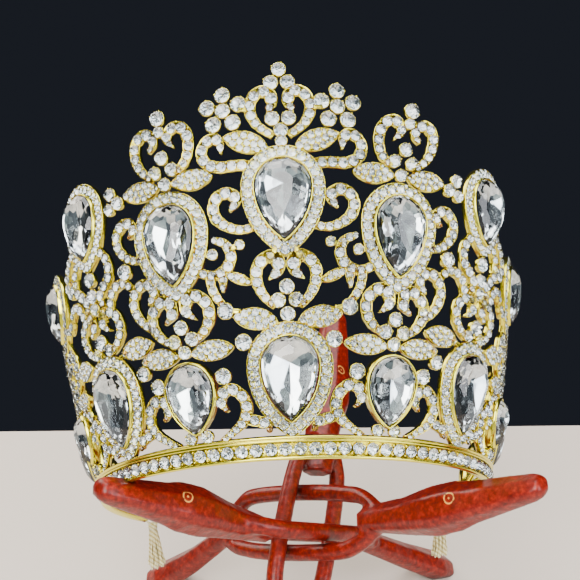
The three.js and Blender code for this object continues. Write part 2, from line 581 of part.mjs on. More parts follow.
/** A limb with its eye, its foot cut flat on the floor and clear of the band that rests on it. */
function limbGeometry({ foot, head, toe, sway, half, roll }, keepOut) {
  const from = new THREE.Vector3(...foot);
  const axis = new THREE.Vector3(...head).sub(from);
  const length = axis.length();
  axis.normalize();
  const across = new THREE.Vector3(-axis.y, axis.x, 0).normalize();
  const above = axis.clone().cross(across);
  const ring = (along, offset, halfWidth, halfHeight) => Array.from({ length: 8 }, (_, i) => {
    const angle = (i + 0.5) / 8 * 2 * Math.PI;
    const [side, rise] = swayAt(sway, along);
    const turn = THREE.MathUtils.degToRad(roll);
    return from.clone().addScaledVector(axis, along)
      .addScaledVector(across, side + offset * Math.cos(turn) + halfWidth * Math.cos(angle) * 1.06)
      .addScaledVector(above, rise + offset * Math.sin(turn) + halfHeight * Math.sin(angle) * 1.06);
  });
  const headRings = [...HEAD_ROWS].reverse().map(([back, width, height]) =>
    ring(length - back, 0, width, height));
  const footRings = FOOT_ROWS.map(([along, width, height]) => ring(along > 9 ? along : toe + along * 1.2, 0, width, height));
  const bars = [1, -1].map((sign) => {
    const { low, high, straightLow, straightHigh, bar } = EYE;
    const rows = [[low, 2], [(low + straightLow) / 2, half * 0.74], [straightLow, half],
      [straightHigh, half], [(high + straightHigh) / 2, half * 0.74], [high, 2]];
    return solid(loft(rows.map(([along, offset]) => ring(along, sign * offset, bar / 1.06, bar / 1.06))));
  });
  const floor = solid(new THREE.BoxGeometry(400, 400, 40).translate(0, 0, -20));
  const limb = union([solid(loft(headRings)), solid(loft(footRings)), ...bars]);
  return geometryOf(limb.subtract(floor).subtract(keepOut));
}

// ---------------------------------------------------------------- assembly

const material = (finish) => new THREE.MeshStandardMaterial(finish);
const display = new THREE.Group();
const tiara = new THREE.Group();
tiara.rotation.x = -LEAN;
tiara.position.z = SEAT_HEIGHT;
display.position.copy(CENTRING);
display.add(tiara);

/** Adds a named mesh to a group. */
function addMesh(group, name, geometry, finish) {
  const mesh = new THREE.Mesh(geometry, material(finish));
  mesh.name = name;
  group.add(mesh);
  return mesh;
}

const panels = [centrePanel()];
for (const [side, sign] of [['left', -1], ['right', 1]]) {
  panels.push(secondPanel(sign, side), thirdPanel(2 * sign, side));
  panels.push(fourthPanel(3 * sign, side), fifthPanel(4 * sign, side), endPanel(5 * sign));
}
addMesh(tiara, 'frame', frameGeometry(panels), GOLD);

for (const { name, angle, s, cut } of stones) {
  const geometry = cut.height ? pearGeometry(cut) : roundGeometry(cut.diameter);
  const mesh = addMesh(tiara, name, geometry, CRYSTAL);
  const { point, along, up, normal } = surfaceFrame(angle, s);
  mesh.applyMatrix4(new THREE.Matrix4().makeBasis(along, up, normal).setPosition(point));
}

display.updateMatrixWorld(true);
for (const [side, sign] of [['left', -1], ['right', 1]]) {
  const angle = sign * (BAND_END + END_LOOP.reach / BAND_RADIUS);
  const { point, normal } = surfaceFrame(angle, END_LOOP.s);
  const middle = point.addScaledVector(normal, (END_LOOP.low + END_LOOP.high) / 2);
  const tassel = addMesh(display, `tassel_${side}`, tasselGeometry(), THREAD);
  const outward = normal.transformDirection(tiara.matrixWorld).setZ(0).normalize();
  tassel.position.copy(display.worldToLocal(tiara.localToWorld(middle)));
  tassel.position.addScaledVector(outward, -TASSEL_HANG.inward).add(new THREE.Vector3(0, 0, TASSEL_HANG.rise));
  tassel.rotation.z = Math.atan2(outward.y, outward.x);
}

const bandRoom = solid(geometryOf(bandSolid(CLEARANCE),
  (corner) => corner.applyMatrix4(tiara.matrix)));
for (const limb of LIMBS) {
  addMesh(display, limb.name, limbGeometry(limb, bandRoom), LACQUER);
}

export default display;
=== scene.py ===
"""A tall flared pageant tiara, leaning back on a stand of three carved limbs.

Sizes are in millimetres and are turned to metres where a mesh is made. +Z is up and
the front of the tiara is towards -Y.
"""

import logging  # noqa: E402
import math  # noqa: E402
import random  # noqa: E402
from dataclasses import dataclass, field, replace  # noqa: E402
from enum import Enum  # noqa: E402
from typing import Callable, Iterable, Sequence  # noqa: E402

import bmesh  # noqa: E402
import bpy  # noqa: E402
import numpy as np  # noqa: E402
from mathutils import Matrix, Vector  # noqa: E402

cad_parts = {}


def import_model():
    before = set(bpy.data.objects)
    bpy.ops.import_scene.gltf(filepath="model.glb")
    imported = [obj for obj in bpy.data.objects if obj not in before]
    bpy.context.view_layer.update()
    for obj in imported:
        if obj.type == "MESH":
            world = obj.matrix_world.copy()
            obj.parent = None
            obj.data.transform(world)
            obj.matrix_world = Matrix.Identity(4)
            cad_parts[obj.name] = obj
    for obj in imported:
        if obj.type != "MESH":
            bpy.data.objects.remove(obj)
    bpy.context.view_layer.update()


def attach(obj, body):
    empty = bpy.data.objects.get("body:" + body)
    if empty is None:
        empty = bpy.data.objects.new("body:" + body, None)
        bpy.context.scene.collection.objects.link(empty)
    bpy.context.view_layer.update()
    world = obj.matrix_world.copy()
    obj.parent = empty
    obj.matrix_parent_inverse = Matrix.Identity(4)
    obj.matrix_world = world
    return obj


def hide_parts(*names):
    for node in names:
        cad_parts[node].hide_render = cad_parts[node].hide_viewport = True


LOG = logging.getLogger("tiara")
MM = 0.001
Row = tuple[float, float, float]
Points = np.ndarray


class Finish(Enum):
    """The finishes that a jewel piece is made of, in the order of its material slots."""

    GOLD = 0
    CRYSTAL = 1
    FOIL = 2


class Sides(Enum):
    """The sides of a panel's centre line that a motif stands on."""

    INNER = (1,)
    OUTER = (-1,)
    BOTH = (1, -1)


# ---------------------------------------------------------------- finishes


def linear(colour: str) -> tuple[float, float, float, float]:
    """Turns an sRGB hex colour into linear values.

    Args:
        colour: The colour, such as "#D9A83A".

    Returns:
        Red, green, blue and an alpha of one.
    """
    values = (int(colour[i : i + 2], 16) / 255 for i in (1, 3, 5))
    red, green, blue = (v / 12.92 if v <= 0.04045 else ((v + 0.055) / 1.055) ** 2.4 for v in values)
    return red, green, blue, 1.0


def add_node(
    tree: bpy.types.NodeTree,
    kind: str,
    settings: dict[str | int, object] | None = None,
    links: dict[str | int, bpy.types.NodeSocket] | None = None,
) -> bpy.types.Node:
    """Adds a node, fills in its values and links its inputs.

    Args:
        tree: The node tree that gets the node.
        kind: Blender's name for the kind of node.
        settings: Values by name, for inputs or for the node's own properties.
        links: Outputs of other nodes, by the name or number of the input they feed.

    Returns:
        The new node.
    """
    node = tree.nodes.new(kind)
    for name, value in (settings or {}).items():
        if isinstance(name, int) or name in node.inputs:
            node.inputs[name].default_value = value
        else:
            setattr(node, name, value)
    for name, output in (links or {}).items():
        tree.links.new(output, node.inputs[name])
    return node


def set_ramp(ramp: bpy.types.Node, stops: Sequence[tuple[float, str]]) -> None:
    """Gives a colour ramp its stops.

    Args:
        ramp: The ramp node.
        stops: Places from 0 to 1 and the hex colour at each.
    """
    elements = ramp.color_ramp.elements
    while len(elements) > 1:
        elements.remove(elements[-1])
    elements[0].position, elements[0].color = stops[0][0], linear(stops[0][1])
    for place, colour in stops[1:]:
        elements.new(place).color = linear(colour)


def new_tree(name: str) -> tuple[bpy.types.Material, bpy.types.NodeTree, bpy.types.Node]:
    """Makes a material with nothing in it but its output.

    Args:
        name: The material's name.

    Returns:
        The material, its node tree and its output node.
    """
    material = bpy.data.materials.new(name)
    material.use_nodes = True
    tree = material.node_tree
    tree.nodes.clear()
    return material, tree, tree.nodes.new("ShaderNodeOutputMaterial")


@dataclass(frozen=True)
class CastGold:
    """Gold-plated cast zinc alloy, tumbled bright: yellow highlights, with amber shade painted into its
    crevices.
    """

    name: str = "gold_plated_casting"
    bright: str = "#F1E650"
    # painted shade: the deep amber below goes into crevices and between parts, found by ambient occlusion
    deep: str = "#9A600A"
    roughness: float = 0.17
    pit_mm: float = 1.6
    crevice_shade_mm: float = 1.4

    def material(self) -> bpy.types.Material:
        """Builds the material."""
        material, tree, output = new_tree(self.name)
        place = add_node(tree, "ShaderNodeTexCoord")
        # painted shade: ambient occlusion runs the colour from deep amber in crevices to bright yellow on
        # open surfaces
        crevice_shade_mask = add_node(tree, "ShaderNodeAmbientOcclusion",
                             {"Distance": self.crevice_shade_mm * MM, "samples": 4})
        hue = add_node(tree, "ShaderNodeValToRGB", links={"Fac": crevice_shade_mask.outputs["AO"]})
        set_ramp(hue, [(0.0, self.deep), (0.75, self.bright)])
        # plating pools in soft pits about a millimetre and a half across
        pits = add_node(tree, "ShaderNodeTexNoise", {"Scale": 1000 / self.pit_mm, "Detail": 2.0},
                        {"Vector": place.outputs["Object"]})
        bump = add_node(tree, "ShaderNodeBump", {"Strength": 0.25, "Distance": 0.12 * MM},
                        {"Height": pits.outputs["Fac"]})
        wear = add_node(tree, "ShaderNodeMapRange",
                        {"To Min": self.roughness - 0.06, "To Max": self.roughness + 0.1},
                        {"Value": pits.outputs["Fac"]})
        surface = add_node(tree, "ShaderNodeBsdfPrincipled", {"Metallic": 1.0},
                           {"Base Color": hue.outputs["Color"], "Roughness": wear.outputs["Result"],
                            "Normal": bump.outputs["Normal"]})
        tree.links.new(surface.outputs["BSDF"], output.inputs["Surface"])
        return material


@dataclass(frozen=True)
class CutCrystal:
    """Machine-cut clear lead crystal, polished flat: each facet shows another part of the foil."""

    name: str = "cut_lead_crystal"
    tint: str = "#F6FCFA"
    ior: float = 1.56
    roughness: float = 0.0

    def material(self) -> bpy.types.Material:
        """Builds the material."""
        material, tree, output = new_tree(self.name)
        surface = add_node(tree, "ShaderNodeBsdfPrincipled",
                           {"Base Color": linear(self.tint), "Roughness": self.roughness,
                            "IOR": self.ior, "Transmission Weight": 1.0})
        tree.links.new(surface.outputs["BSDF"], output.inputs["Surface"])
        return material


@dataclass(frozen=True)
class MirrorFoil:
    """Silver foil fired on the backs of the stones: a mirror seen through the crystal."""

    name: str = "silver_foil_backing"
    bright: str = "#F4F6F8"
    shade: str = "#C9CDD2"
    roughness: float = 0.06
    cloud_mm: float = 6.0

    def material(self) -> bpy.types.Material:
        """Builds the material."""
        material, tree, output = new_tree(self.name)
        place = add_node(tree, "ShaderNodeTexCoord")
        # the foil's thickness drifts over some millimetres
        cloud = add_node(tree, "ShaderNodeTexNoise", {"Scale": 1000 / self.cloud_mm},
                         {"Vector": place.outputs["Object"]})
        hue = add_node(tree, "ShaderNodeValToRGB", links={"Fac": cloud.outputs["Fac"]})
        set_ramp(hue, [(0.35, self.shade), (0.6, self.bright)])
        surface = add_node(tree, "ShaderNodeBsdfPrincipled",
                           {"Metallic": 1.0, "Roughness": self.roughness},
                           {"Base Color": hue.outputs["Color"]})
        tree.links.new(surface.outputs["BSDF"], output.inputs["Surface"])
        return material


@dataclass(frozen=True)
class RedLacquer:
    """Knife-carved hardwood under red stain and thin lacquer: flat cuts, painted shade in the hollows,
    bare-wood eyes.
    """

    name: str
    eyes: tuple[Row, ...]
    stain: str = "#741206"
    bright: str = "#A8240A"
    dark: str = "#4A0C05"
    # painted shade: the grey-brown below darkens the carved hollows
    painted_hollow_shade: str = "#5A403A"
    bare: str = "#E8A050"
    roughness: float = 0.36
    grain_mm: float = 2.0
    cut_mm: float = 9.0
    hollow_shade_mm: float = 9.0
    eye_mm: float = 2.6

    def material(self) -> bpy.types.Material:
        """Builds the material."""
        material, tree, output = new_tree(self.name)
        place = add_node(tree, "ShaderNodeTexCoord")
        grain = add_node(tree, "ShaderNodeTexNoise",
                         {"Scale": 1000 / self.grain_mm, "Detail": 5.0, "Roughness": 0.65},
                         {"Vector": place.outputs["Object"]})
        hue = add_node(tree, "ShaderNodeValToRGB", links={"Fac": grain.outputs["Fac"]})
        set_ramp(hue, [(0.28, self.dark), (0.5, self.stain), (0.72, self.bright)])
        # painted shade: ambient occlusion darkens the colour in the hollows and leaves the ridges as they are
        hollow_shade_mask = add_node(tree, "ShaderNodeAmbientOcclusion",
                           {"Distance": self.hollow_shade_mm * MM, "samples": 4})
        hollow_shade_tone = add_node(tree, "ShaderNodeValToRGB", links={"Fac": hollow_shade_mask.outputs["AO"]})
        set_ramp(hollow_shade_tone, [(0.2, self.painted_hollow_shade), (0.8, "#FFFFFF")])
        with_hollow_shade = add_node(tree, "ShaderNodeMix", {"data_type": "RGBA", "blend_type": "MULTIPLY"})
        with_hollow_shade.inputs[0].default_value = 1.0
        tree.links.new(hue.outputs["Color"], with_hollow_shade.inputs[6])
        tree.links.new(hollow_shade_tone.outputs["Color"], with_hollow_shade.inputs[7])
        colour = with_hollow_shade.outputs[2]
        # each eye is two rings scratched through to the bare wood
        for eye in self.eyes:
            away = add_node(tree, "ShaderNodeVectorMath",
                            {"operation": "DISTANCE", 1: tuple(value * MM for value in eye)},
                            {0: place.outputs["Object"]})
            rings = add_node(tree, "ShaderNodeMapRange", {"From Max": self.eye_mm * MM},
                             {"Value": away.outputs["Value"]})
            scratch = add_node(tree, "ShaderNodeValToRGB", links={"Fac": rings.outputs["Result"]})
            set_ramp(scratch, [(0.0, "#FFFFFF"), (0.16, "#FFFFFF"), (0.24, "#000000"), (0.62, "#000000"),
                               (0.7, "#FFFFFF"), (0.92, "#FFFFFF"), (1.0, "#000000")])
            broken = add_node(tree, "ShaderNodeMath", {"operation": "MULTIPLY"},
                              {0: scratch.outputs["Color"], 1: grain.outputs["Fac"]})
            carved = add_node(tree, "ShaderNodeMapRange", {"From Min": 0.4, "From Max": 0.5},
                              {"Value": broken.outputs["Value"]})
            shown = add_node(tree, "ShaderNodeMix", {"data_type": "RGBA"})
            shown.inputs[7].default_value = linear(self.bare)
            tree.links.new(carved.outputs["Result"], shown.inputs[0])
            tree.links.new(colour, shown.inputs[6])
            colour = shown.outputs[2]
        # knife cuts leave shallow facets under a fine leathery skin
        cuts = add_node(tree, "ShaderNodeTexVoronoi", {"Scale": 1000 / self.cut_mm},
                        {"Vector": place.outputs["Object"]})
        height = add_node(tree, "ShaderNodeMath", {"operation": "MULTIPLY_ADD", 1: 0.22},
                          {0: grain.outputs["Fac"], 2: cuts.outputs["Distance"]})
        bump = add_node(tree, "ShaderNodeBump", {"Strength": 0.5, "Distance": 1.6 * MM},
                        {"Height": height.outputs["Value"]})
        surface = add_node(tree, "ShaderNodeBsdfPrincipled",
                           {"Roughness": self.roughness, "Specular IOR Level": 0.25, "Coat Weight": 0.2,
                            "Coat Roughness": 0.15},
                           {"Base Color": colour, "Normal": bump.outputs["Normal"]})
        tree.links.new(surface.outputs["BSDF"], output.inputs["Surface"])
        return material


@dataclass(frozen=True)
class RayonThread:
    """Twisted rayon embroidery thread: pale gold with a soft sheen and fine twist lines."""

    name: str = "pale_gold_rayon_thread"
    light: str = "#F4ECBE"
    shade: str = "#CDB96C"
    roughness: float = 0.5
    twist_mm: float = 0.7

    def material(self) -> bpy.types.Material:
        """Builds the material."""
        material, tree, output = new_tree(self.name)
        place = add_node(tree, "ShaderNodeTexCoord")
        # the ply twist shows as slanting lines every seven tenths of a millimetre
        twist = add_node(tree, "ShaderNodeTexWave",
                         {"Scale": 1000 / self.twist_mm / 6.3, "Distortion": 2.0,
                          "bands_direction": "DIAGONAL"}, {"Vector": place.outputs["Object"]})
        hue = add_node(tree, "ShaderNodeValToRGB", links={"Fac": twist.outputs["Fac"]})
        set_ramp(hue, [(0.1, self.shade), (0.7, self.light)])
        bump = add_node(tree, "ShaderNodeBump", {"Strength": 0.5, "Distance": 0.15 * MM},
                        {"Height": twist.outputs["Fac"]})
        surface = add_node(tree, "ShaderNodeBsdfPrincipled",
                           {"Roughness": self.roughness, "Sheen Weight": 0.4},
                           {"Base Color": hue.outputs["Color"], "Normal": bump.outputs["Normal"]})
        tree.links.new(surface.outputs["BSDF"], output.inputs["Surface"])
        return material


@dataclass(frozen=True)
class PaleFloor:
    """Matt painted board, plain and pale."""

    name: str = "pale_painted_board"
    colour: str = "#D8CBBE"
    roughness: float = 0.6

    def material(self) -> bpy.types.Material:
        """Builds the material."""
        material, tree, output = new_tree(self.name)
        surface = add_node(tree, "ShaderNodeBsdfPrincipled",
                           {"Base Color": linear(self.colour), "Roughness": self.roughness})
        tree.links.new(surface.outputs["BSDF"], output.inputs["Surface"])
        return material


# ---------------------------------------------------------------- meshes


@dataclass
class Shell:
    """Closed forms gathered into one mesh, each face with its finish."""

    points: list[Points] = field(default_factory=list)
    faces: list[tuple[int, ...]] = field(default_factory=list)
    finishes: list[Finish] = field(default_factory=list)
    smooth: list[bool] = field(default_factory=list)
    count: int = 0

    def add(self, points: Points, faces: Iterable[Sequence[int]], finish: Finish | Sequence[Finish],
            smooth: bool) -> None:
        """Adds one closed form.

        Args:
            points: Its corners, one a row.
            faces: Corner numbers of each face.
            finish: One finish for all its faces, or one for each.
            smooth: Whether its faces are shaded smooth.
        """
        faces = [tuple(self.count + i for i in face) for face in faces]
        self.points.append(np.asarray(points, dtype=float))
        self.faces += faces
        self.finishes += [finish] * len(faces) if isinstance(finish, Finish) else list(finish)
        self.smooth += [smooth] * len(faces)
        self.count += len(points)

    def loft(self, rings: Sequence[Points], finish: Finish, smooth: bool = True,
             closed: bool = False) -> None:
        """Adds a skin over a row of rings with the same number of corners.

        Args:
            rings: The rings in order.
            finish: The finish of every face.
            smooth: Whether it is shaded smooth.
            closed: Whether the last ring joins the first; otherwise both ends are capped.
        """
        count = len(rings[0])
        faces: list[tuple[int, ...]] = []
        last = len(rings) if closed else len(rings) - 1
        for r in range(last):
            a, b = r * count, (r + 1) % len(rings) * count
            faces += [(a + i, a + (i + 1) % count, b + (i + 1) % count, b + i) for i in range(count)]
        if not closed:
            faces.append(tuple(reversed(range(count))))
            faces.append(tuple((len(rings) - 1) * count + i for i in range(count)))
        self.add(np.vstack(rings), faces, finish, smooth)

    def mapped(self, move: Callable[[Points], Points]) -> "Shell":
        """Returns the shell with its corners moved.

        Args:
            move: Gives the new corners for all the old ones at once.

        Returns:
            A new shell.
        """
        points = [move(np.vstack(self.points))] if self.points else []
        return replace(self, points=points)

    def build(self, name: str, materials: Sequence[bpy.types.Material]) -> bpy.types.Object:
        """Makes a Blender object of the shell, whose corners are in millimetres.

        Args:
            name: The object's name.
            materials: The materials in the order of the finishes.

        Returns:
            The object, in the scene.
        """
        mesh = bpy.data.meshes.new(name)
        mesh.from_pydata((np.vstack(self.points) * MM).tolist(), [], self.faces)
        for material in materials:
            mesh.materials.append(material)
        limit = len(materials) - 1
        mesh.polygons.foreach_set("material_index", [min(f.value, limit) for f in self.finishes])
        mesh.polygons.foreach_set("use_smooth", self.smooth)
        edit = bmesh.new()
        edit.from_mesh(mesh)
        bmesh.ops.recalc_face_normals(edit, faces=edit.faces)
        edit.to_mesh(mesh)
        edit.free()
        thing = bpy.data.objects.new(name, mesh)
        bpy.context.scene.collection.objects.link(thing)
        return thing


def spline(rows: Sequence[Row], step: float) -> Points:
    """Runs a smooth curve through rows of numbers.

    Args:
        rows: The rows that it passes through; the first two numbers are its place.
        step: The distance between the samples.

    Returns:
        The samples, one a row.
    """
    knots = np.array(rows, dtype=float)
    knots = np.vstack([2 * knots[0] - knots[1], knots, 2 * knots[-1] - knots[-2]])
    times = np.concatenate([[0], np.cumsum(np.sqrt(np.linalg.norm(np.diff(knots[:, :2], axis=0), axis=1)))])
    samples: list[Points] = []
    for i in range(1, len(knots) - 2):
        count = max(2, int(np.linalg.norm(knots[i + 1, :2] - knots[i, :2]) / step + 0.5))
        for t in np.linspace(times[i], times[i + 1], count, endpoint=False):
            p0, p1, p2, p3 = knots[i - 1 : i + 3]
            t0, t1, t2, t3 = times[i - 1 : i + 3]
            a1 = (t1 - t) / (t1 - t0) * p0 + (t - t0) / (t1 - t0) * p1
            a2 = (t2 - t) / (t2 - t1) * p1 + (t - t1) / (t2 - t1) * p2
            a3 = (t3 - t) / (t3 - t2) * p2 + (t - t2) / (t3 - t2) * p3
            b1 = (t2 - t) / (t2 - t0) * a1 + (t - t0) / (t2 - t0) * a2
            b2 = (t3 - t) / (t3 - t1) * a2 + (t - t1) / (t3 - t1) * a3
            samples.append((t2 - t) / (t2 - t1) * b1 + (t - t1) / (t2 - t1) * b2)
    samples.append(knots[-2])
    return np.array(samples)


# ---------------------------------------------------------------- cut stones


@dataclass(frozen=True)
class Cut:
    """A brilliant cut over any outline: table, stars, kites and girdle facets over a foiled back."""

    table: float = 0.56
    middle: float = 0.8
    rise: float = 0.62
    lower: float = 0.5
    sink: float = 0.6

    def stone(self, shell: Shell, outline: Points, heart: Points, base: float, girdle: float,
              top: float, rim: float = 0.0) -> None:
        """Adds a stone to a shell.

        Args:
            shell: The shell that gets it.
            outline: The girdle's outline, an even number of corners in the plane.
            heart: The point in the plane that the facets gather round.
            base: Height of the stone's lowest point.
            girdle: Height of the girdle.
            top: Height of the table.
            rim: Thickness of the girdle.
        """
        count = len(outline)

        def level(scale: float, height: float, pick: slice) -> Points:
            """Returns some of the outline's corners, drawn in to the heart."""
            flat = heart + (outline[pick] - heart) * scale
            return np.column_stack([flat, np.full(len(flat), height)])

        even, odd = slice(0, None, 2), slice(1, None, 2)
        half = count // 2
        mid = girdle + rim + (top - girdle - rim) * self.rise
        deep = girdle - (girdle - base) * self.sink
        points = np.vstack([
            level(1, girdle, slice(None)), level(1, girdle + rim, slice(None)),
            level(self.middle, mid, odd), level(self.table, top, even),
            level(self.lower, deep, odd), [[heart[0], heart[1], base]],
        ])
        low, high = 0, count
        kite, table = 2 * count, 2 * count + half
        under, point = 2 * count + 2 * half, 2 * count + 3 * half
        faces: list[tuple[int, ...]] = [tuple(table + k for k in range(half))]
        for k in range(half):
            after, before = (k + 1) % half, (k - 1) % half
            corner, side, beyond = 2 * k, 2 * k + 1, (2 * k + 2) % count
            faces += [(table + k, kite + k, table + after),
                      (table + k, kite + before, high + corner, kite + k),
                      (high + corner, high + side, kite + k),
                      (high + side, high + beyond, kite + k)]
            faces += [(low + corner, low + side, high + side, high + corner),
                      (low + side, low + beyond, high + beyond, high + side)]
            faces_below = [(point, under + before, low + corner, under + k),
                           (low + corner, low + side, under + k),
                           (low + side, low + beyond, under + k)]
            faces += faces_below
        finishes = [Finish.CRYSTAL]
        for _ in range(half):
            finishes += [Finish.CRYSTAL] * 6 + [Finish.FOIL] * 3
        shell.add(points, faces, finishes, False)


@dataclass(frozen=True)
class Wheel:
    """One round of flat facets ground on a stone, all tangent to one inset of its outline.

    Without a slope, every facet runs to the point of the back.
    """

    facets: int
    inset: float
    height: float
    slope: float | None = None
    turn: float = 0.0
    back: bool = False


@dataclass(frozen=True)
class GroundCut:
    """A large stone ground flat facet by flat facet, as on a lap: coarse facets, scalloped girdle."""

    base: float = 0.6
    girdle: float = 3.7
    rim: float = 0.3
    table: float = 7.7
    heart: Row = (0.0, 0.6)
    wheels: tuple[Wheel, ...] = (
        Wheel(14, 0.0, 4.0, math.radians(50)),
        Wheel(10, 1.2, 5.4, math.radians(33), 0.5),
        Wheel(8, 3.5, 6.9, math.radians(15), 0.2),
        Wheel(12, 0.0, 3.7, math.radians(36), 0.3, True),
        Wheel(8, 2.2, 2.25, None, 0.5, True),
    )

    def stone(self, shell: Shell, outline: Points) -> None:
        """Grinds a stone out of a rough prism and adds it to a shell.

        Args:
            shell: The shell that gets it.
            outline: The girdle's outline, counter-clockwise.
        """
        edit = bmesh.new()
        low, high = ([edit.verts.new((*corner, height)) for corner in outline]
                     for height in (self.base, self.table))
        count = len(outline)
        edit.faces.new(list(reversed(low))).material_index = Finish.FOIL.value
        edit.faces.new(high).material_index = Finish.CRYSTAL.value
        for i in range(count):
            side = edit.faces.new([low[i], low[(i + 1) % count], high[(i + 1) % count], high[i]])
            side.material_index = Finish.CRYSTAL.value
        ahead = np.roll(outline, -1, axis=0) - outline
        length = np.linalg.norm(ahead, axis=1)
        normals = np.column_stack([ahead[:, 1], -ahead[:, 0]]) / length[:, None]
        arc = np.concatenate([[0], np.cumsum(length)])
        for wheel in self.wheels:
            for k in range(wheel.facets):
                at = (k + wheel.turn) / wheel.facets * arc[-1]
                outward = normals[int(np.searchsorted(arc, at, side="right")) - 1]
                reach = float((outline @ outward).max()) - wheel.inset
                slope = wheel.slope
                if slope is None:
                    slope = math.atan((wheel.height - self.base) / (reach - float(outward @ self.heart)))
                rise = -math.cos(slope) if wheel.back else math.cos(slope)
                plane = (*(outward * math.sin(slope)), rise)
                cut = bmesh.ops.bisect_plane(edit, geom=edit.verts[:] + edit.edges[:] + edit.faces[:],
                                             dist=1e-4,
                                             plane_co=(*(outward * reach), wheel.height), plane_no=plane,
                                             clear_outer=True)
                edges = [part for part in cut["geom_cut"] if isinstance(part, bmesh.types.BMEdge)]
                if len(edges) > 2:
                    for face in bmesh.ops.edgeloop_fill(edit, edges=edges)["faces"]:
                        face.material_index = (Finish.FOIL if wheel.back else Finish.CRYSTAL).value
        edit.verts.index_update()
        shell.add(np.array([vertex.co for vertex in edit.verts]),
                  [[vertex.index for vertex in face.verts] for face in edit.faces],
                  [Finish(face.material_index) for face in edit.faces], False)
        edit.free()



def ring_points(diameter: float, sides: int, turn: float = 0.0) -> Points:
    """Corners of a regular polygon.

    Args:
        diameter: Its diameter over the corners.
        sides: Its number of sides.
        turn: The angle of its first corner.

    Returns:
        The corners in the plane.
    """
    angles = turn + np.arange(sides) / sides * 2 * math.pi
    return np.column_stack([np.cos(angles), np.sin(angles)]) * diameter / 2


ICO = [(0, 0, 1.0)] + [(0.894 * math.cos(a), 0.894 * math.sin(a), 0.447)
                       for a in (i * 0.4 * math.pi for i in range(5))] + \
      [(0.894 * math.cos(a), 0.894 * math.sin(a), -0.447)
       for a in ((i + 0.5) * 0.4 * math.pi for i in range(5))] + [(0, 0, -1.0)]
ICO_FACES = [(0, 1 + i, 1 + (i + 1) % 5) for i in range(5)] + \
            [(1 + i, 6 + i, 1 + (i + 1) % 5) for i in range(5)] + \
            [(6 + i, 6 + (i + 1) % 5, 1 + (i + 1) % 5) for i in range(5)] + \
            [(11, 6 + (i + 1) % 5, 6 + i) for i in range(5)]


@dataclass(frozen=True)
class Jeweller:
    """Sets small stones: each in its place with claws or beads of gold beside it."""

    cut: Cut = Cut(table=0.55, middle=0.8, rise=0.65)
    crown: float = 0.3
    pavilion: float = 0.31
    bead: float = 0.42

    def small(self, shell: Shell, x: float, y: float, diameter: float, seat: float,
              turn: float = 0.0) -> None:
        """Adds a small round stone.

        Args:
            shell: The shell that gets it.
            x: Its place across.
            y: Its place up the slant.
            diameter: Its diameter.
            seat: The height of its girdle.
            turn: How far its facets are turned.
        """
        middle = np.array([x, y])
        self.cut.stone(shell, ring_points(diameter, 16, turn) + middle, middle,
                       seat - diameter * self.pavilion, seat, seat + diameter * self.crown, 0.12)

    def grain(self, shell: Shell, x: float, y: float, height: float, radius: float | None = None) -> None:
        """Adds a bead of gold.

        Args:
            shell: The shell that gets it.
            x: Its place across.
            y: Its place up the slant.
            height: The height of its centre.
            radius: Its radius, or None for the usual one.
        """
        size = self.bead if radius is None else radius
        shell.add(np.array(ICO) * size + np.array([x, y, height]), ICO_FACES, Finish.GOLD, True)

    def cup(self, shell: Shell, x: float, y: float, diameter: float, seat: float, claws: int = 4,
            turn: float = 0.0) -> None:
        """Adds a round stone in its own cup with claws.

        Args:
            shell: The shell that gets it.
            x: Its place across.
            y: Its place up the slant.
            diameter: Diameter over the cup.
            seat: The height of the stone's girdle.
            claws: The number of claws.
            turn: The angle of the first claw.
        """
        wall, lip = 0.2, seat + 0.12
        rings = [np.column_stack([ring_points(d, 20) + (x, y), np.full(20, n)]) for d, n in
                 ((diameter * 0.8, 0.0), (diameter - 0.3, 0.4), (diameter, lip - 0.35), (diameter - 0.2, lip),
                  (diameter - 2 * wall, lip), (diameter - 2 * wall - 0.3, 0.6))]
        shell.loft(rings, Finish.GOLD)
        self.small(shell, x, y, diameter - 2 * wall, seat + 0.1, turn)
        for i in range(claws):
            angle = turn + (i + 0.5) / claws * 2 * math.pi
            reach = diameter / 2 - wall - 0.02
            self.grain(shell, x + reach * math.cos(angle), y + reach * math.sin(angle), seat + 0.4, 0.36)


# ---------------------------------------------------------------- the flared surface


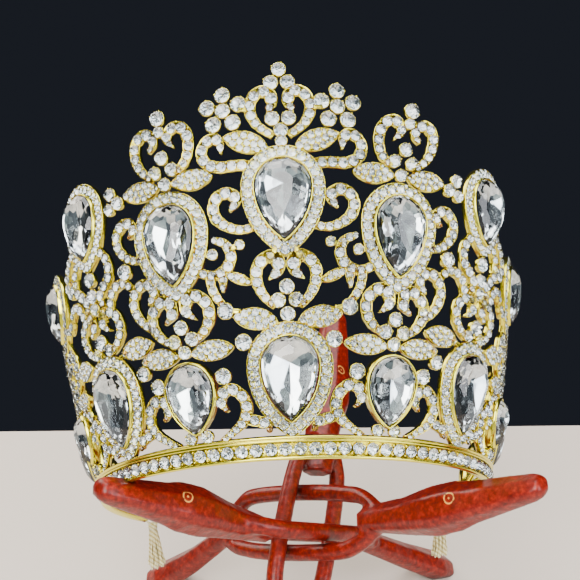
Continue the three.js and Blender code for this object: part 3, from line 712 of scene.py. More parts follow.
@dataclass(frozen=True)
class Surface:
    """The flared wall that the openwork follows, leaning back on the stand."""

    radius: float = 80
    flare: float = 0.387
    curve: float = -0.001
    ease_from: float = math.radians(36)
    ease_to: float = math.radians(86)
    ease_left: float = 0.13
    ease_right: float = 0.27
    ease_radius: float = 1
    lean: float = math.radians(45.8)
    seat: tuple[float, float, float] = (1.59, -20.787, 86.8)

    def radius_at(self, s: Points | float) -> Points | float:
        """Returns the wall's radius at a slant height."""
        return self.radius + self.flare * s + self.curve * s * s

    def upright(self, angle: Points, s: Points, n: Points) -> Points:
        """Places points on the wall before it leans.

        Args:
            angle: Angles from the front.
            s: Slant heights.
            n: Depths outward from the wall.

        Returns:
            The points in millimetres.
        """
        span = np.clip((np.abs(angle) - self.ease_from) / (self.ease_to - self.ease_from), 0, 1)
        ease = span * span * (3 - 2 * span)
        flare = self.flare * (1 - np.where(angle > 0, self.ease_right, self.ease_left) * ease)
        sine = flare + 2 * self.curve * s
        cosine = np.sqrt(1 - sine**2)
        height = s * np.sqrt(1 - (flare + self.curve * s) ** 2) - n * sine
        reach = self.radius - self.ease_radius * ease + flare * s + self.curve * s * s + n * cosine
        return np.column_stack([np.sin(angle) * reach, -np.cos(angle) * reach, height])

    def leaning(self, points: Points) -> Points:
        """Leans points back and sets them on the stand.

        Args:
            points: Points of the upright tiara.

        Returns:
            The points in the model's frame.
        """
        cosine, sine = math.cos(-self.lean), math.sin(-self.lean)
        x, y, z = points.T
        return np.column_stack([x, y * cosine - z * sine, y * sine + z * cosine]) + self.seat

    def bend(self, index: int, angle: float, points: Points) -> Points:
        """Takes flat points of a panel to their places on the wall.

        Args:
            index: The panel's number, negative on the left.
            angle: Its angle from the front.
            points: Flat points: across, up the slant, and out.

        Returns:
            The points in the model's frame.
        """
        v, s, n = points.T
        aside = (-v if index > 0 else v) + FINIALS.aside(index, s)
        return self.leaning(self.upright(angle + aside / self.radius_at(s), s, n))

    def set_square(self, angle: float, s: float, points: Points) -> Points:
        """Takes a stone's own points to its seat, without bending it.

        Args:
            angle: The seat's angle from the front.
            s: Its slant height.
            points: The stone's points: across, up and out.

        Returns:
            The points in the model's frame.
        """
        at = [np.array([value], dtype=float) for value in (angle, s, 0)]
        origin = self.upright(*at)[0]
        tiny = 0.01
        along = np.array([math.cos(angle), math.sin(angle), 0])
        outward = self.upright(at[0], at[1], at[2] + tiny)[0] - origin
        outward /= np.linalg.norm(outward)
        up = np.cross(outward, along)
        return self.leaning(origin + points @ np.array([along, up, outward]))


WALL = Surface()


@dataclass(frozen=True)
class Bend:
    """How far the finials of the second panels are bent outward, the right one more."""

    start: float = 104
    left: float = 0.04
    right: float = 0.18

    def aside(self, index: int, s: Points | float) -> Points | float:
        """Returns the shift at a slant height, positive towards the right."""
        rate = 0.0 if abs(index) != 1 else (self.right if index > 0 else -self.left)
        return rate * np.maximum(0, s - self.start)


FINIALS = Bend()


# ---------------------------------------------------------------- motifs of the openwork


@dataclass(frozen=True)
class Pear:
    """A pear outline: a round top and two bowed sides that meet in a tip below."""

    width: float
    height: float
    tip: float = 0.0

    @property
    def middle(self) -> float:
        """Slant height of the round top's centre."""
        return self.tip + self.height - self.width / 2

    def outline(self, offset: float, side_steps: int = 8, top_steps: int = 16) -> Points:
        """Returns the outline, moved out by an offset.

        Args:
            offset: How far out it lies.
            side_steps: Corners down each side.
            top_steps: Steps round the top.

        Returns:
            The corners, counter-clockwise from the tip.
        """
        top = self.width / 2
        drop = self.height - top
        bow = (top * top + drop * drop) / (2 * top)
        spread = math.acos((bow - top) / (bow + offset))
        side = [(top - bow + (bow + offset) * math.cos(a), (bow + offset) * math.sin(a))
                for a in (-spread * (1 - i / side_steps) for i in range(side_steps))]
        arc = [((top + offset) * math.cos(a), (top + offset) * math.sin(a))
               for a in (math.pi * i / top_steps for i in range(top_steps + 1))]
        mirrored = [(-x, y) for x, y in reversed(side[1:])]
        return np.array(side + arc + mirrored) + (0, self.middle)


PLATE = 2.2
LARGE = Pear(20, 30)
MIDDLE = Pear(18, 25)
BROAD = Pear(19.4, 26.4)
SMALL = Pear(14, 19)


@dataclass
class Openwork:
    """Motifs of the cast and stone-set openwork, gathered flat on one panel."""

    shell: Shell = field(default_factory=Shell)
    jeweller: Jeweller = field(default_factory=Jeweller)
    seed: int = 7

    def __post_init__(self) -> None:
        """Starts the panel's own run of chance."""
        self.chance = random.Random(self.seed)

    def strip(self, rows: Sequence[Row], sign: int, stones: bool = True) -> None:
        """Adds a scroll: a gold trough with a row of stones, that may end in a barb.

        Args:
            rows: Across, up the slant, and width.
            sign: The side of the centre line.
            stones: Whether stones are set in it.
        """
        path = spline(rows, 0.8)
        arc = np.concatenate([[0], np.cumsum(np.linalg.norm(np.diff(path[:, :2], axis=0), axis=1))])
        seats: list[tuple[float, float]] = []
        if stones:
            at = 0.9
            while at < arc[-1]:
                width = float(np.interp(at, arc, path[:, 2]))
                size = min(4.1, width * 0.86)
                if width < 1.9:
                    break
                seats.append((at + size / 2, size))
                at += size + 0.3
        heading = np.gradient(path[:, :2], axis=0)
        heading /= np.linalg.norm(heading, axis=1)[:, None]
        side = np.column_stack([-heading[:, 1], heading[:, 0]])
        rings = []
        for (x, y, width), across, at in zip(path, side, arc):
            half = width / 2
            if seats:
                near = min(abs(at - centre) / (size / 2 + 0.2) for centre, size in seats)
                half *= 1.03 - 0.09 * min(1.0, near) ** 2 if width > 1.9 else 1
            lip, inner = min(0.16, half * 0.3), min(0.34, half * 0.55)
            floor = PLATE - (1.25 if width > 1.6 and stones else 0.1)
            profile = [(-half, 0.4), (-half, PLATE - 0.5), (-half + lip * 0.4, PLATE - 0.12),
                       (-half + lip, PLATE),
                       (-half + inner, floor), (half - inner, floor), (half - lip, PLATE),
                       (half - lip * 0.4, PLATE - 0.12), (half, PLATE - 0.5), (half, 0.4),
                       (half * 0.7, 0.0), (-half * 0.7, 0.0)]
            rings.append(np.array([(sign * (x + across[0] * p), y + across[1] * p, n) for p, n in profile]))
        self.shell.loft(rings, Finish.GOLD)
        for k, (at, size) in enumerate(seats):
            x, y = (float(np.interp(at, arc, path[:, i])) for i in (0, 1))
            self.jeweller.small(self.shell, sign * x, y, size, PLATE, self.chance.random())
            if k:
                before, last = seats[k - 1]
                between = (before + last / 2 + at - size / 2) / 2
                x, y = (float(np.interp(between, arc, path[:, i])) for i in (0, 1))
                across = np.array([np.interp(between, arc, side[:, i]) for i in (0, 1)])
                width = float(np.interp(between, arc, path[:, 2]))
                for way in (1, -1):
                    off = way * (width / 2 - 0.62)
                    self.jeweller.grain(self.shell, sign * (x + across[0] * off), y + across[1] * off,
                                        PLATE + 0.12)

    def field_of_stones(self, outline: Points, centre: Points, top: float, stone: float,
                        slant: float = 0.0) -> None:
        """Adds a plate with a raised rim, filled with stones of falling size and beads of gold.

        Args:
            outline: The plate's outline.
            centre: The point that it shrinks to.
            top: The rim's height.
            stone: The largest stones' diameter.
            slant: The direction of the rows.
        """
        def level(shrink: float, n: float) -> Points:
            """Returns the outline drawn in by a distance."""
            reach = np.linalg.norm(outline - centre, axis=1)[:, None]
            flat = centre + (outline - centre) * np.maximum(0.05, (reach - shrink) / reach)
            return np.column_stack([flat, np.full(len(flat), n)])

        self.shell.loft([level(0.4, 0), level(0, 0.4), level(0, top - 0.4), level(0.15, top - 0.08),
                         level(0.25, top), level(0.4, top - 1.3)], Finish.GOLD)
        turn = np.array([[math.cos(slant), math.sin(slant)], [-math.sin(slant), math.cos(slant)]])
        ahead = np.roll(outline, -1, axis=0)
        edge = ahead - outline
        reach = np.abs((outline - centre) @ turn.T).max(axis=0)
        spots = [np.array([x, y]) @ turn + centre for x in np.arange(-reach[0], reach[0], 0.28)
                 for y in sorted(np.arange(-reach[1], reach[1], 0.28), key=abs)]
        inside: list[tuple[Points, float]] = []
        for spot in spots:
            t = np.clip(np.sum((spot - outline) * edge, axis=1) / np.sum(edge**2, axis=1), 0, 1)
            gap = float(np.linalg.norm(outline + edge * t[:, None] - spot, axis=1).min())
            cross = (outline[:, 1] > spot[1]) != (ahead[:, 1] > spot[1])
            with np.errstate(divide="ignore", invalid="ignore"):
                meets = outline[:, 0] + (spot[1] - outline[:, 1]) * edge[:, 0] / edge[:, 1]
            if np.sum(cross & (spot[0] < meets)) % 2 and gap > 0.6:
                inside.append((spot, gap))
        taken: list[tuple[float, float, float]] = []
        for size in (stone, stone * 0.78, stone * 0.58, stone * 0.42):
            for spot, gap in inside:
                if gap < size / 2 + 0.16:
                    continue
                if any(math.hypot(spot[0] - x, spot[1] - y) < (size + other) / 2 + 0.06
                       for x, y, other in taken):
                    continue
                taken.append((*spot, size))
                self.jeweller.small(self.shell, *spot, size, top - 0.05, self.chance.random())
        for spot, gap in inside[::3]:
            if all(math.hypot(spot[0] - x, spot[1] - y) > other / 2 + 0.12 for x, y, other in taken):
                taken.append((*spot, 0.5))
                self.jeweller.grain(self.shell, *spot, top + 0.05, 0.36)

    def leaf(self, sign: int, v: float, s: float, length: float, width: float, angle: float) -> None:
        """Adds a pointed leaf paved with stones.

        Args:
            sign: The side of the centre line.
            v: Its centre across.
            s: Its centre up the slant.
            length: Its length.
            width: Its width.
            angle: The angle of its tip from the across line.
        """
        x = np.cos(np.linspace(math.pi, 0, 15))
        upper = np.column_stack([x * length / 2, (1 - x * x) ** 0.75 * width / 2])
        outline = np.vstack([upper, (upper * (1, -1))[-2:0:-1]])[::-1]
        turn = np.array([[math.cos(angle), math.sin(angle)], [-math.sin(angle), math.cos(angle)]])
        flat = (outline @ turn + (v, s)) * (sign, 1)
        stone = 2.55 if width > 5 else 2.2
        self.field_of_stones(flat, np.array([sign * v, s]), 2.5, stone, sign * angle)

    def disc(self, sign: int, v: float, s: float, diameter: float) -> None:
        """Adds a small round stone in a cup.

        Args:
            sign: The side of the centre line.
            v: Its place across.
            s: Its place up the slant.
            diameter: Diameter over the cup.
        """
        self.jeweller.cup(self.shell, sign * v, s, diameter, PLATE, 4, self.chance.random())

    def stalk(self, sign: int, v1: float, s1: float, v2: float, s2: float, width: float = 1.9) -> None:
        """Adds a plain gold bridge between two places."""
        self.strip([(v1, s1, width), ((v1 + v2) / 2, (s1 + s2) / 2, width * 0.85), (v2, s2, width)],
                   sign, False)

    def halo(self, pear: Pear, width: float) -> None:
        """Adds the ring round a pear: a bezel, a trough of stones and an outer rim.

        Args:
            pear: The pear.
            width: The ring's width.
        """
        plain = width < 2
        top = 2.6
        profile = [(0.25, 0.2), (0.2, 4.1), (0.35, 4.3), (0.6, 4.1), (0.8, 2.2)]
        if plain:
            profile = [(0.3, 0.2), (0.2, 4.1), (0.4, 4.35), (0.75, 4.15), (1.0, 3.2), (1.1, 0.2)]
        else:
            profile += [(0.9, top - 1.3), (width - 0.4, top - 1.3), (width - 0.3, top - 0.05),
                        (width - 0.18, top), (width - 0.05, top - 0.12), (width, top - 0.5), (width, 0.4),
                        (width - 0.5, 0.0), (0.8, 0.0)]
        loops = [np.column_stack([pear.outline(offset, 12, 24), np.full(48, n)]) for offset, n in profile]
        self.shell.loft(loops, Finish.GOLD, closed=True)
        if plain:
            return
        centre = (0.8 + width - 0.3) / 2
        size = width - 1.85
        walk = pear.outline(centre, 60, 120)
        walk = np.vstack([walk, walk[:1]])
        arc = np.concatenate([[0], np.cumsum(np.linalg.norm(np.diff(walk, axis=0), axis=1))])
        count = round(arc[-1] / (size + 0.32))
        for k in range(count):
            at = k / count * arc[-1]
            x, y = (float(np.interp(at, arc, walk[:, i])) for i in (0, 1))
            self.jeweller.small(self.shell, x, y, size, top - 0.05, self.chance.random())
            at = (k + 0.5) / count * arc[-1]
            x, y = (float(np.interp(at, arc, walk[:, i])) for i in (0, 1))
            ahead = [float(np.interp(at + 0.1, arc, walk[:, i])) for i in (0, 1)]
            heading = np.array([ahead[0] - x, ahead[1] - y])
            heading /= np.linalg.norm(heading)
            for way in (1, -1):
                off = way * (size / 2 - 0.1)
                self.jeweller.small(self.shell, x - heading[1] * off, y + heading[0] * off, 1.35, top - 0.05)
                off = way * (size / 2 - 1.05)
                self.jeweller.grain(self.shell, x - heading[1] * off, y + heading[0] * off, top + 0.1, 0.42)


HEART_A = ((4.4, 54.2, 2.4), (8.2, 58.5, 3.4), (10.4, 63.5, 4), (10.3, 68.5, 4.4),
           (7.2, 72.2, 4.6), (3.6, 72, 5.2), (2.7, 67.6, 4.2), (6.4, 64.1, 0.6))
SIDE_A = ((11, 83.6, 3), (15.5, 83, 3.2), (20.5, 84.6, 3.6), (24.6, 88.2, 4.2),
          (25.6, 92.6, 4.4), (23.6, 96.4, 4.4), (19.8, 97, 4.4), (16.9, 94.2, 4.2), (19.6, 90, 0.6))
WING_A = ((12, 106.8, 3.8), (17.5, 107.2, 4.2), (23, 107.2, 4.3), (27.8, 109.2, 4.3),
          (29.6, 113.2, 4.3), (28.4, 117, 4.3), (25, 118.6, 4.3), (22.6, 116.4, 3.6), (22.2, 112.3, 0.6))
FINIAL_A = ((3, 117.4, 2.8), (8, 121.2, 3.4), (10.6, 125.5, 4.2), (10.9, 130.3, 4.4),
            (8, 134.6, 4.6), (4.2, 134.4, 4.8), (3, 130.2, 4.2), (4.8, 126.6, 0.6))
BASE_SPRIG = ((15.6, 15, 3.6), (12, 14.2, 4), (8.9, 13, 3.8), (7.6, 10.2, 0.6))
FOOT_SCROLL = ((8.5, 8, 2.4), (13.2, 11, 2.8), (17.2, 14, 3.6), (19.6, 18.4, 4.2),
               (19, 23.2, 4.3), (15.6, 26.2, 4.4), (11.9, 25.2, 4.2), (10.6, 22.2, 3.8), (12.8, 18.3, 0.6))
HEART_B = ((4.8, 45.2, 2.6), (9, 48.6, 3.6), (11.4, 53, 4.4), (11.2, 57.6, 4.6),
           (7.6, 61.2, 4.6), (3.8, 60.8, 5.2), (2.8, 56.5, 4.2), (6.3, 52.8, 0.6))
FINIAL_B = ((4.8, 107.6, 2.8), (9.6, 112.5, 3.8), (11.4, 118, 4.4), (10.6, 123.6, 4.6),
            (7, 126.3, 4.6), (3.7, 124.4, 4.2), (3, 121.6, 3.6), (5.4, 118.4, 0.6))
SIDE_B = ((12, 78.8, 2.8), (16.5, 79.4, 3.2), (21, 82, 3.8), (24, 86.4, 4.2),
          (24, 91, 4.4), (20.8, 94.2, 4.4), (17.2, 93.6, 4.2), (15.8, 91, 3.8), (18.2, 88, 0.6))
SPRIG_B = ((10.6, 51.4, 2.6), (14.6, 54.2, 3.2), (18, 58.6, 4), (19.2, 63.6, 4.2),
           (17, 68.4, 4.2), (13.2, 69.6, 4.2), (10, 67.6, 4), (9.6, 64.9, 3.6), (12.3, 61.4, 0.6))
RING_B = ((9.2, 69.6, 3.2), (15.5, 67.5, 3.8), (20, 69.4, 4.2), (22.4, 73.8, 4), (20.8, 78.4, 3.4),
          (17, 80.3, 2.6))
STEM_B = ((13.6, 67.6, 3.2), (14, 63, 3.4), (15.4, 59.2, 3.2), (17.4, 56.2, 2.6))
SPUR_B = ((18.4, 68, 3.4), (18.3, 65, 3.2), (17.6, 61, 0.6))
HEART_C = ((5, 48.8, 3), (9.6, 51.8, 3.6), (12.5, 56, 4.2), (12.4, 60.4, 4.4),
           (9, 63.8, 4.4), (4.4, 64.2, 4.6), (3.2, 60.4, 4), (6.6, 57, 0.6))
ARM_C = ((22.6, 69.2, 3), (18.5, 72.4, 3.8), (13.6, 71.8, 4), (10.6, 68.4, 3.8), (9.2, 63.8, 3.4))
FROND_C = ((7.6, 89, 3.6), (12, 83.4, 4.2), (11.8, 77.6, 4.4), (8, 74.2, 4.6), (4.6, 70.8, 4.6),
           (6, 66.8, 0.6))
SIDE_C = ((10.2, 94, 3.4), (15.6, 90.8, 3.8), (20, 86.2, 4.2), (20.6, 81.6, 4.4), (17.4, 78.6, 4.4),
          (14.8, 80.4, 3.6),
          (16.6, 84, 0.6))

Strokes = Sequence[Sequence[Row]]


def lowered(rows: Sequence[Row], drop: float) -> list[Row]:
    """Returns the rows of a stroke, lower on the panel."""
    return [(v, s - drop, width) for v, s, width in rows]


@dataclass
class Panel:
    """One panel of the openwork: its haloed pears, scrolls, leaves and cups."""

    name: str
    index: int
    pitch: float = math.radians(23.3)
    work: Openwork = field(default_factory=Openwork)

    def scrolls(self, sides: Sides, *strokes: Sequence[Row]) -> None:
        """Adds stone-set scrolls on some sides."""
        for rows in strokes:
            for sign in sides.value:
                self.work.strip(rows, sign)

    def leaves(self, sides: Sides, v: float, s: float, length: float, width: float, angle: float) -> None:
        """Adds paved leaves on some sides."""
        for sign in sides.value:
            self.work.leaf(sign, v, s, length, width, angle)

    def discs(self, sides: Sides, *rounds: Row) -> None:
        """Adds small stones in cups on some sides."""
        for v, s, diameter in rounds:
            for sign in sides.value:
                self.work.disc(sign, v, s, diameter)

    def stalks(self, sides: Sides, *ends: tuple[float, float, float, float]) -> None:
        """Adds plain bridges on some sides."""
        for end in ends:
            for sign in sides.value:
                self.work.stalk(sign, *end)

    def centre(self) -> None:
        """Lays out the tall centre panel."""
        self.work.halo(replace(LARGE, tip=78.3), 5.3)
        self.work.halo(replace(LARGE, tip=13.7), 5.3)
        self.scrolls(Sides.BOTH, HEART_A, SIDE_A, WING_A, FINIAL_A, BASE_SPRIG)
        self.stalks(Sides.BOTH, (5, 72, 3, 76.4), (12, 128.4, 15.6, 129), (17, 53.6, 20, 54.2),
                    (14, 42, 13, 41.6))
        self.leaves(Sides.BOTH, 11.5, 50.5, 16.4, 8.2, 0.18)
        self.leaves(Sides.BOTH, 13, 115.6, 17.4, 8.4, 0.33)
        self.discs(Sides.INNER, (0, 51.6, 5.4), (0, 119.4, 5.4), (0, 115.2, 4.6))
        self.discs(Sides.BOTH, (3.2, 56.6, 5.4), (3, 124, 5.6))
        petals = [(21.2 + 6.2 * math.sin(a), 128.8 + 6.2 * math.cos(a), 6.1)
                  for a in (i * 0.4 * math.pi for i in range(5))]
        self.discs(Sides.BOTH, (21.2, 128.8, 5.8), *petals)

    def second(self) -> None:
        """Lays out a second panel, with a finial."""
        self.work.halo(replace(LARGE, tip=66.3), 5.3)
        self.work.halo(replace(MIDDLE, tip=12.2), 1.1)
        self.scrolls(Sides.BOTH, FOOT_SCROLL, HEART_B, FINIAL_B)
        self.scrolls(Sides.INNER, RING_B, STEM_B, SPUR_B)
        self.scrolls(Sides.OUTER, SIDE_B, SPRIG_B)
        self.leaves(Sides.BOTH, 10.6, 41, 16.8, 7.8, 0.05)
        self.leaves(Sides.BOTH, 10.8, 104.2, 16.6, 8.2, 0.03)
        self.leaves(Sides.INNER, 24.2, 65.4, 10.6, 4.2, -0.45)
        self.stalks(Sides.INNER, (12.6, 75.6, 14, 75.2), (21.8, 76.4, 25, 77.4))
        self.stalks(Sides.BOTH, (13.2, 28, 14, 27))
        self.stalks(Sides.OUTER, (18.6, 39.4, 16.6, 41))
        self.discs(Sides.BOTH, (3.3, 10.4, 4.8), (3.6, 46, 5.4), (3.6, 109.8, 5.4))
        self.discs(Sides.INNER, (0, 41.6, 5.2), (0, 104.6, 5.2), (0, 125.6, 4.6), (15.6, 75.2, 4.2),
                   (26, 77.6, 3.8))

    def third(self) -> None:
        """Lays out a third panel, with its two haloed pears."""
        self.work.halo(replace(BROAD, tip=87), 4.7)
        self.work.halo(replace(LARGE, tip=13.1), 5.3)
        self.scrolls(Sides.BOTH, HEART_C, ARM_C, FROND_C, BASE_SPRIG)
        self.leaves(Sides.BOTH, 18.4, 47.2, 16, 8.2, 0.1)
        self.stalks(Sides.BOTH, (8, 45.4, 12.6, 46.8), (5.6, 62.6, 1.2, 66.6))
        self.scrolls(Sides.OUTER, SIDE_C)
        self.discs(Sides.INNER, (0, 67, 5.6), (0, 72.4, 6), (0, 79, 6.2), (22.5, 103.2, 5.4),
                   (19.2, 107.6, 5.4), (17.8, 101.8, 5))
        self.discs(Sides.BOTH, (4.2, 50, 5.0))

    def fourth(self) -> None:
        """Lays out a fourth panel."""
        self.work.halo(replace(MIDDLE, tip=66), 4.5)
        self.work.halo(replace(SMALL, tip=14.4), 1.1)
        self.scrolls(Sides.BOTH, FOOT_SCROLL, lowered(HEART_B, 3),
                     ((6, 31, 3.4), (10, 34, 3.6), (13.5, 29, 3.2)))
        self.scrolls(Sides.INNER, ((18.6, 69, 3.4), (14, 66.4, 3.8), (8.6, 67.8, 3.2)))
        self.scrolls(Sides.OUTER, lowered(SPRIG_B, 3), ((5.6, 60, 3), (7.7, 61.6, 3.1), (9.8, 63, 3.2)))
        self.stalks(Sides.BOTH, (5.2, 57.4, 3.6, 65.4))
        self.leaves(Sides.BOTH, 10, 37.2, 15, 7.4, 0.05)
        self.discs(Sides.INNER, (0, 37.8, 5.2), (0, 47, 5.2), (0, 10.6, 5.2))
        self.discs(Sides.BOTH, (3.6, 42, 5.2))

    def fifth(self) -> None:
        """Lays out a low fifth panel beside the temple."""
        self.work.halo(replace(MIDDLE, tip=13.1), 4.5)
        self.scrolls(Sides.BOTH, BASE_SPRIG, lowered(HEART_C, 5.4))
        self.leaves(Sides.BOTH, 16.4, 41.6, 15, 7.6, 0.1)
        self.stalks(Sides.BOTH, (6, 40, 11, 41.2))
        self.discs(Sides.INNER, (0, 47.8, 5.4))
        self.discs(Sides.BOTH, (3.8, 43.4, 5.0))

    def end(self) -> None:
        """Lays out the scroll that runs the openwork out to the band's end."""
        self.scrolls(Sides.INNER, FOOT_SCROLL)
        self.stalks(Sides.INNER, (13.6, 26.6, 13.2, 30.4))
        self.leaves(Sides.INNER, 7.4, 13.4, 12, 6.4, -1.2)
        self.discs(Sides.INNER, (13.2, 31.4, 5.4))

    def build(self, materials: Sequence[bpy.types.Material]) -> bpy.types.Object:
        """Builds the panel's mesh and sets it on the wall.

        Args:
            materials: Gold, crystal and foil.

        Returns:
            The panel's object.
        """
        self.work.chance.seed(40 + self.index)
        (self.centre, self.second, self.third, self.fourth, self.fifth, self.end)[abs(self.index)]()
        bent = self.work.shell.mapped(lambda points: WALL.bend(self.index, self.index * self.pitch, points))
        piece = bent.build(self.name, materials)
        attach(piece, "root")
        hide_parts("frame")
        return piece


@dataclass
class Band:
    """The band: smooth rails with a row of stones between, and a loop at each end."""

    end: float = math.radians(120)
    stone: float = 4.5
    pitch: float = 5.15
    loop_reach: float = 3.2
    loop_s: float = 4.2
    jeweller: Jeweller = field(default_factory=Jeweller)

    def rails(self, shell: Shell) -> None:
        """Adds the rails with the channel between them."""
        profile = [(0, 0.2), (0, 2.9), (0.3, 3.35), (0.9, 3.4), (1.25, 3.1), (1.35, 1.3), (6.2, 1.3),
                   (6.3, 3.0),
                   (6.55, 3.35), (7.05, 3.35), (7.3, 2.95), (7.45, 2.95), (7.7, 3.4), (8.15, 3.4), (8.4, 3.1),
                   (8.4, -0.1), (8.1, -0.4), (0.3, -0.4)]
        steps = 150
        rings = []
        for i in range(steps + 1):
            angle = self.end * (2 * i / steps - 1)
            s, n = np.array(profile).T
            rings.append(WALL.leaning(WALL.upright(np.full(len(s), angle), s, n)))
        shell.loft(rings, Finish.GOLD)

    def stones(self, shell: Shell) -> None:
        """Adds the row of stones and the beads that hold them."""
        flat = Shell()
        count = int(2 * self.end * 81 / self.pitch) - 1
        middle = 3.8
        for i in range(count):
            x = (i - (count - 1) / 2) * self.pitch
            self.jeweller.small(flat, x, middle, self.stone, 2.75, 0.2 + i * 1.3)
            for way in (1, -1):
                self.jeweller.grain(flat, x + self.pitch / 2, middle + way * 1.75, 2.9, 0.5)
        bent = flat.mapped(lambda p: WALL.leaning(WALL.upright(p[:, 0] / 81, p[:, 1], p[:, 2])))
        shell.add(np.vstack(bent.points), bent.faces, bent.finishes, False)
        shell.smooth[-len(bent.faces):] = bent.smooth

    def loops(self, shell: Shell) -> None:
        """Adds the loops at the band's ends."""
        for sign in (1, -1):
            angle = sign * (self.end + self.loop_reach / WALL.radius)
            rings = []
            for i in range(24):
                turn = i / 24 * 2 * math.pi
                ring = [((2.6 + 0.8 * math.cos(a)) * math.cos(turn),
                         (2.6 + 0.8 * math.cos(a)) * math.sin(turn),
                         1.5 + 0.85 * math.sin(a)) for a in (k / 8 * 2 * math.pi for k in range(8))]
                rings.append(WALL.set_square(angle, self.loop_s, np.array(ring)))
            shell.loft(rings, Finish.GOLD, closed=True)

    def build(self, materials: Sequence[bpy.types.Material]) -> bpy.types.Object:
        """Builds the band.

        Args:
            materials: Gold, crystal and foil.

        Returns:
            The band's object.
        """
        shell = Shell()
        self.rails(shell)
        self.stones(shell)
        self.loops(shell)
        piece = shell.build("stone_set_band", materials)
        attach(piece, "root")
        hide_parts("frame")
        return piece


# ---------------------------------------------------------------- main stones


@dataclass(frozen=True)
class MainStone:
    """A main stone, set square on the wall in the place of its solid."""

    node: str
    index: int
    v: float
    s: float
    pear: Pear | None = None
    diameter: float = 0.0
    pitch: float = math.radians(23.3)

    def shape(self) -> Shell:
        """Cuts the stone about its own middle."""
        shell = Shell()
        if self.pear:
            centred = Pear(self.pear.width, self.pear.height, self.pear.width / 2 - self.pear.height)
            GroundCut().stone(shell, centred.outline(0, 14, 28))
            return shell
        jeweller = Jeweller()
        cup = self.diameter + 0.5
        jeweller.cup(shell, 0, 0, cup, 2.35, 4, 0.35)
        return shell

    def build(self, materials: Sequence[bpy.types.Material]) -> bpy.types.Object:
        """Builds the stone and puts it in its solid's place.

        Args:
            materials: Gold, crystal and foil.

        Returns:
            The stone's object.
        """
        inward = -1 if self.index > 0 else 1
        s = self.pear.middle if self.pear else self.s
        aside = inward * self.v + float(FINIALS.aside(self.index, s))
        angle = self.index * self.pitch + aside / float(WALL.radius_at(s))
        piece = self.shape().mapped(lambda points: WALL.set_square(angle, s, points)).build(
            f"cut_{self.node}", materials)
        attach(piece, "root")
        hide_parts(self.node)
        return piece


def main_stones() -> list[MainStone]:
    """Lists the main stones with their places."""
    stones = [
        MainStone("pear_centre_upper", 0, 0, 0, replace(LARGE, tip=78.3)),
        MainStone("pear_centre_lower", 0, 0, 0, replace(LARGE, tip=13.7)),
        MainStone("round_centre_heart", 0, 0, 61.4, diameter=5.1),
        MainStone("round_centre_top", 0, 0, 143.4, diameter=5.3),
    ]
    for sign, tag in ((1, "near"), (-1, "far")):
        stones += [
            MainStone(f"round_centre_shoulder_{tag}", 0, sign * 3.1, 138.2, diameter=5.3),
            MainStone(f"round_link_upper_{tag}", 0, sign * 22.1, 54.2, diameter=5.7),
            MainStone(f"round_link_lower_{tag}", 0, sign * 16, 42.5, diameter=5.7),
        ]
    for side, way in (("left", -1), ("right", 1)):
        stones += [
            MainStone(f"pear_second_upper_{side}", way, 0, 0, replace(LARGE, tip=66.3)),
            MainStone(f"pear_second_lower_{side}", way, 0, 0, replace(MIDDLE, tip=12.2)),
            MainStone(f"round_second_heart_{side}", way, 0, 50.7, diameter=5.1),
            MainStone(f"round_second_crown_{side}", way, 0, 115, diameter=5.1),
            MainStone(f"round_second_top_{side}", way, 0, 131, diameter=5.9),
            MainStone(f"round_second_foot_{side}_near", way, 13.2, 31.2, diameter=5.5),
            MainStone(f"round_second_foot_{side}_far", way, -13.2, 31.2, diameter=5.5),
            MainStone(f"round_second_outer_{side}", way, -18.9, 37.2, diameter=5.3),
            MainStone(f"round_second_sprig_{side}", way, -21.6, 76.2, diameter=5.7),
            MainStone(f"pear_third_upper_{side}", 2 * way, 0, 0, replace(BROAD, tip=87)),
            MainStone(f"pear_third_lower_{side}", 2 * way, 0, 0, replace(LARGE, tip=13.1)),
            MainStone(f"round_third_heart_{side}", 2 * way, 0, 53.8, diameter=5.9),
            MainStone(f"pear_fourth_upper_{side}", 3 * way, 0, 0, replace(MIDDLE, tip=66)),
            MainStone(f"pear_fourth_lower_{side}", 3 * way, 0, 0, replace(SMALL, tip=14.4)),
            MainStone(f"pear_fifth_lower_{side}", 4 * way, 0, 0, replace(MIDDLE, tip=13.1)),
        ]
    return stones


# ---------------------------------------------------------------- tassels


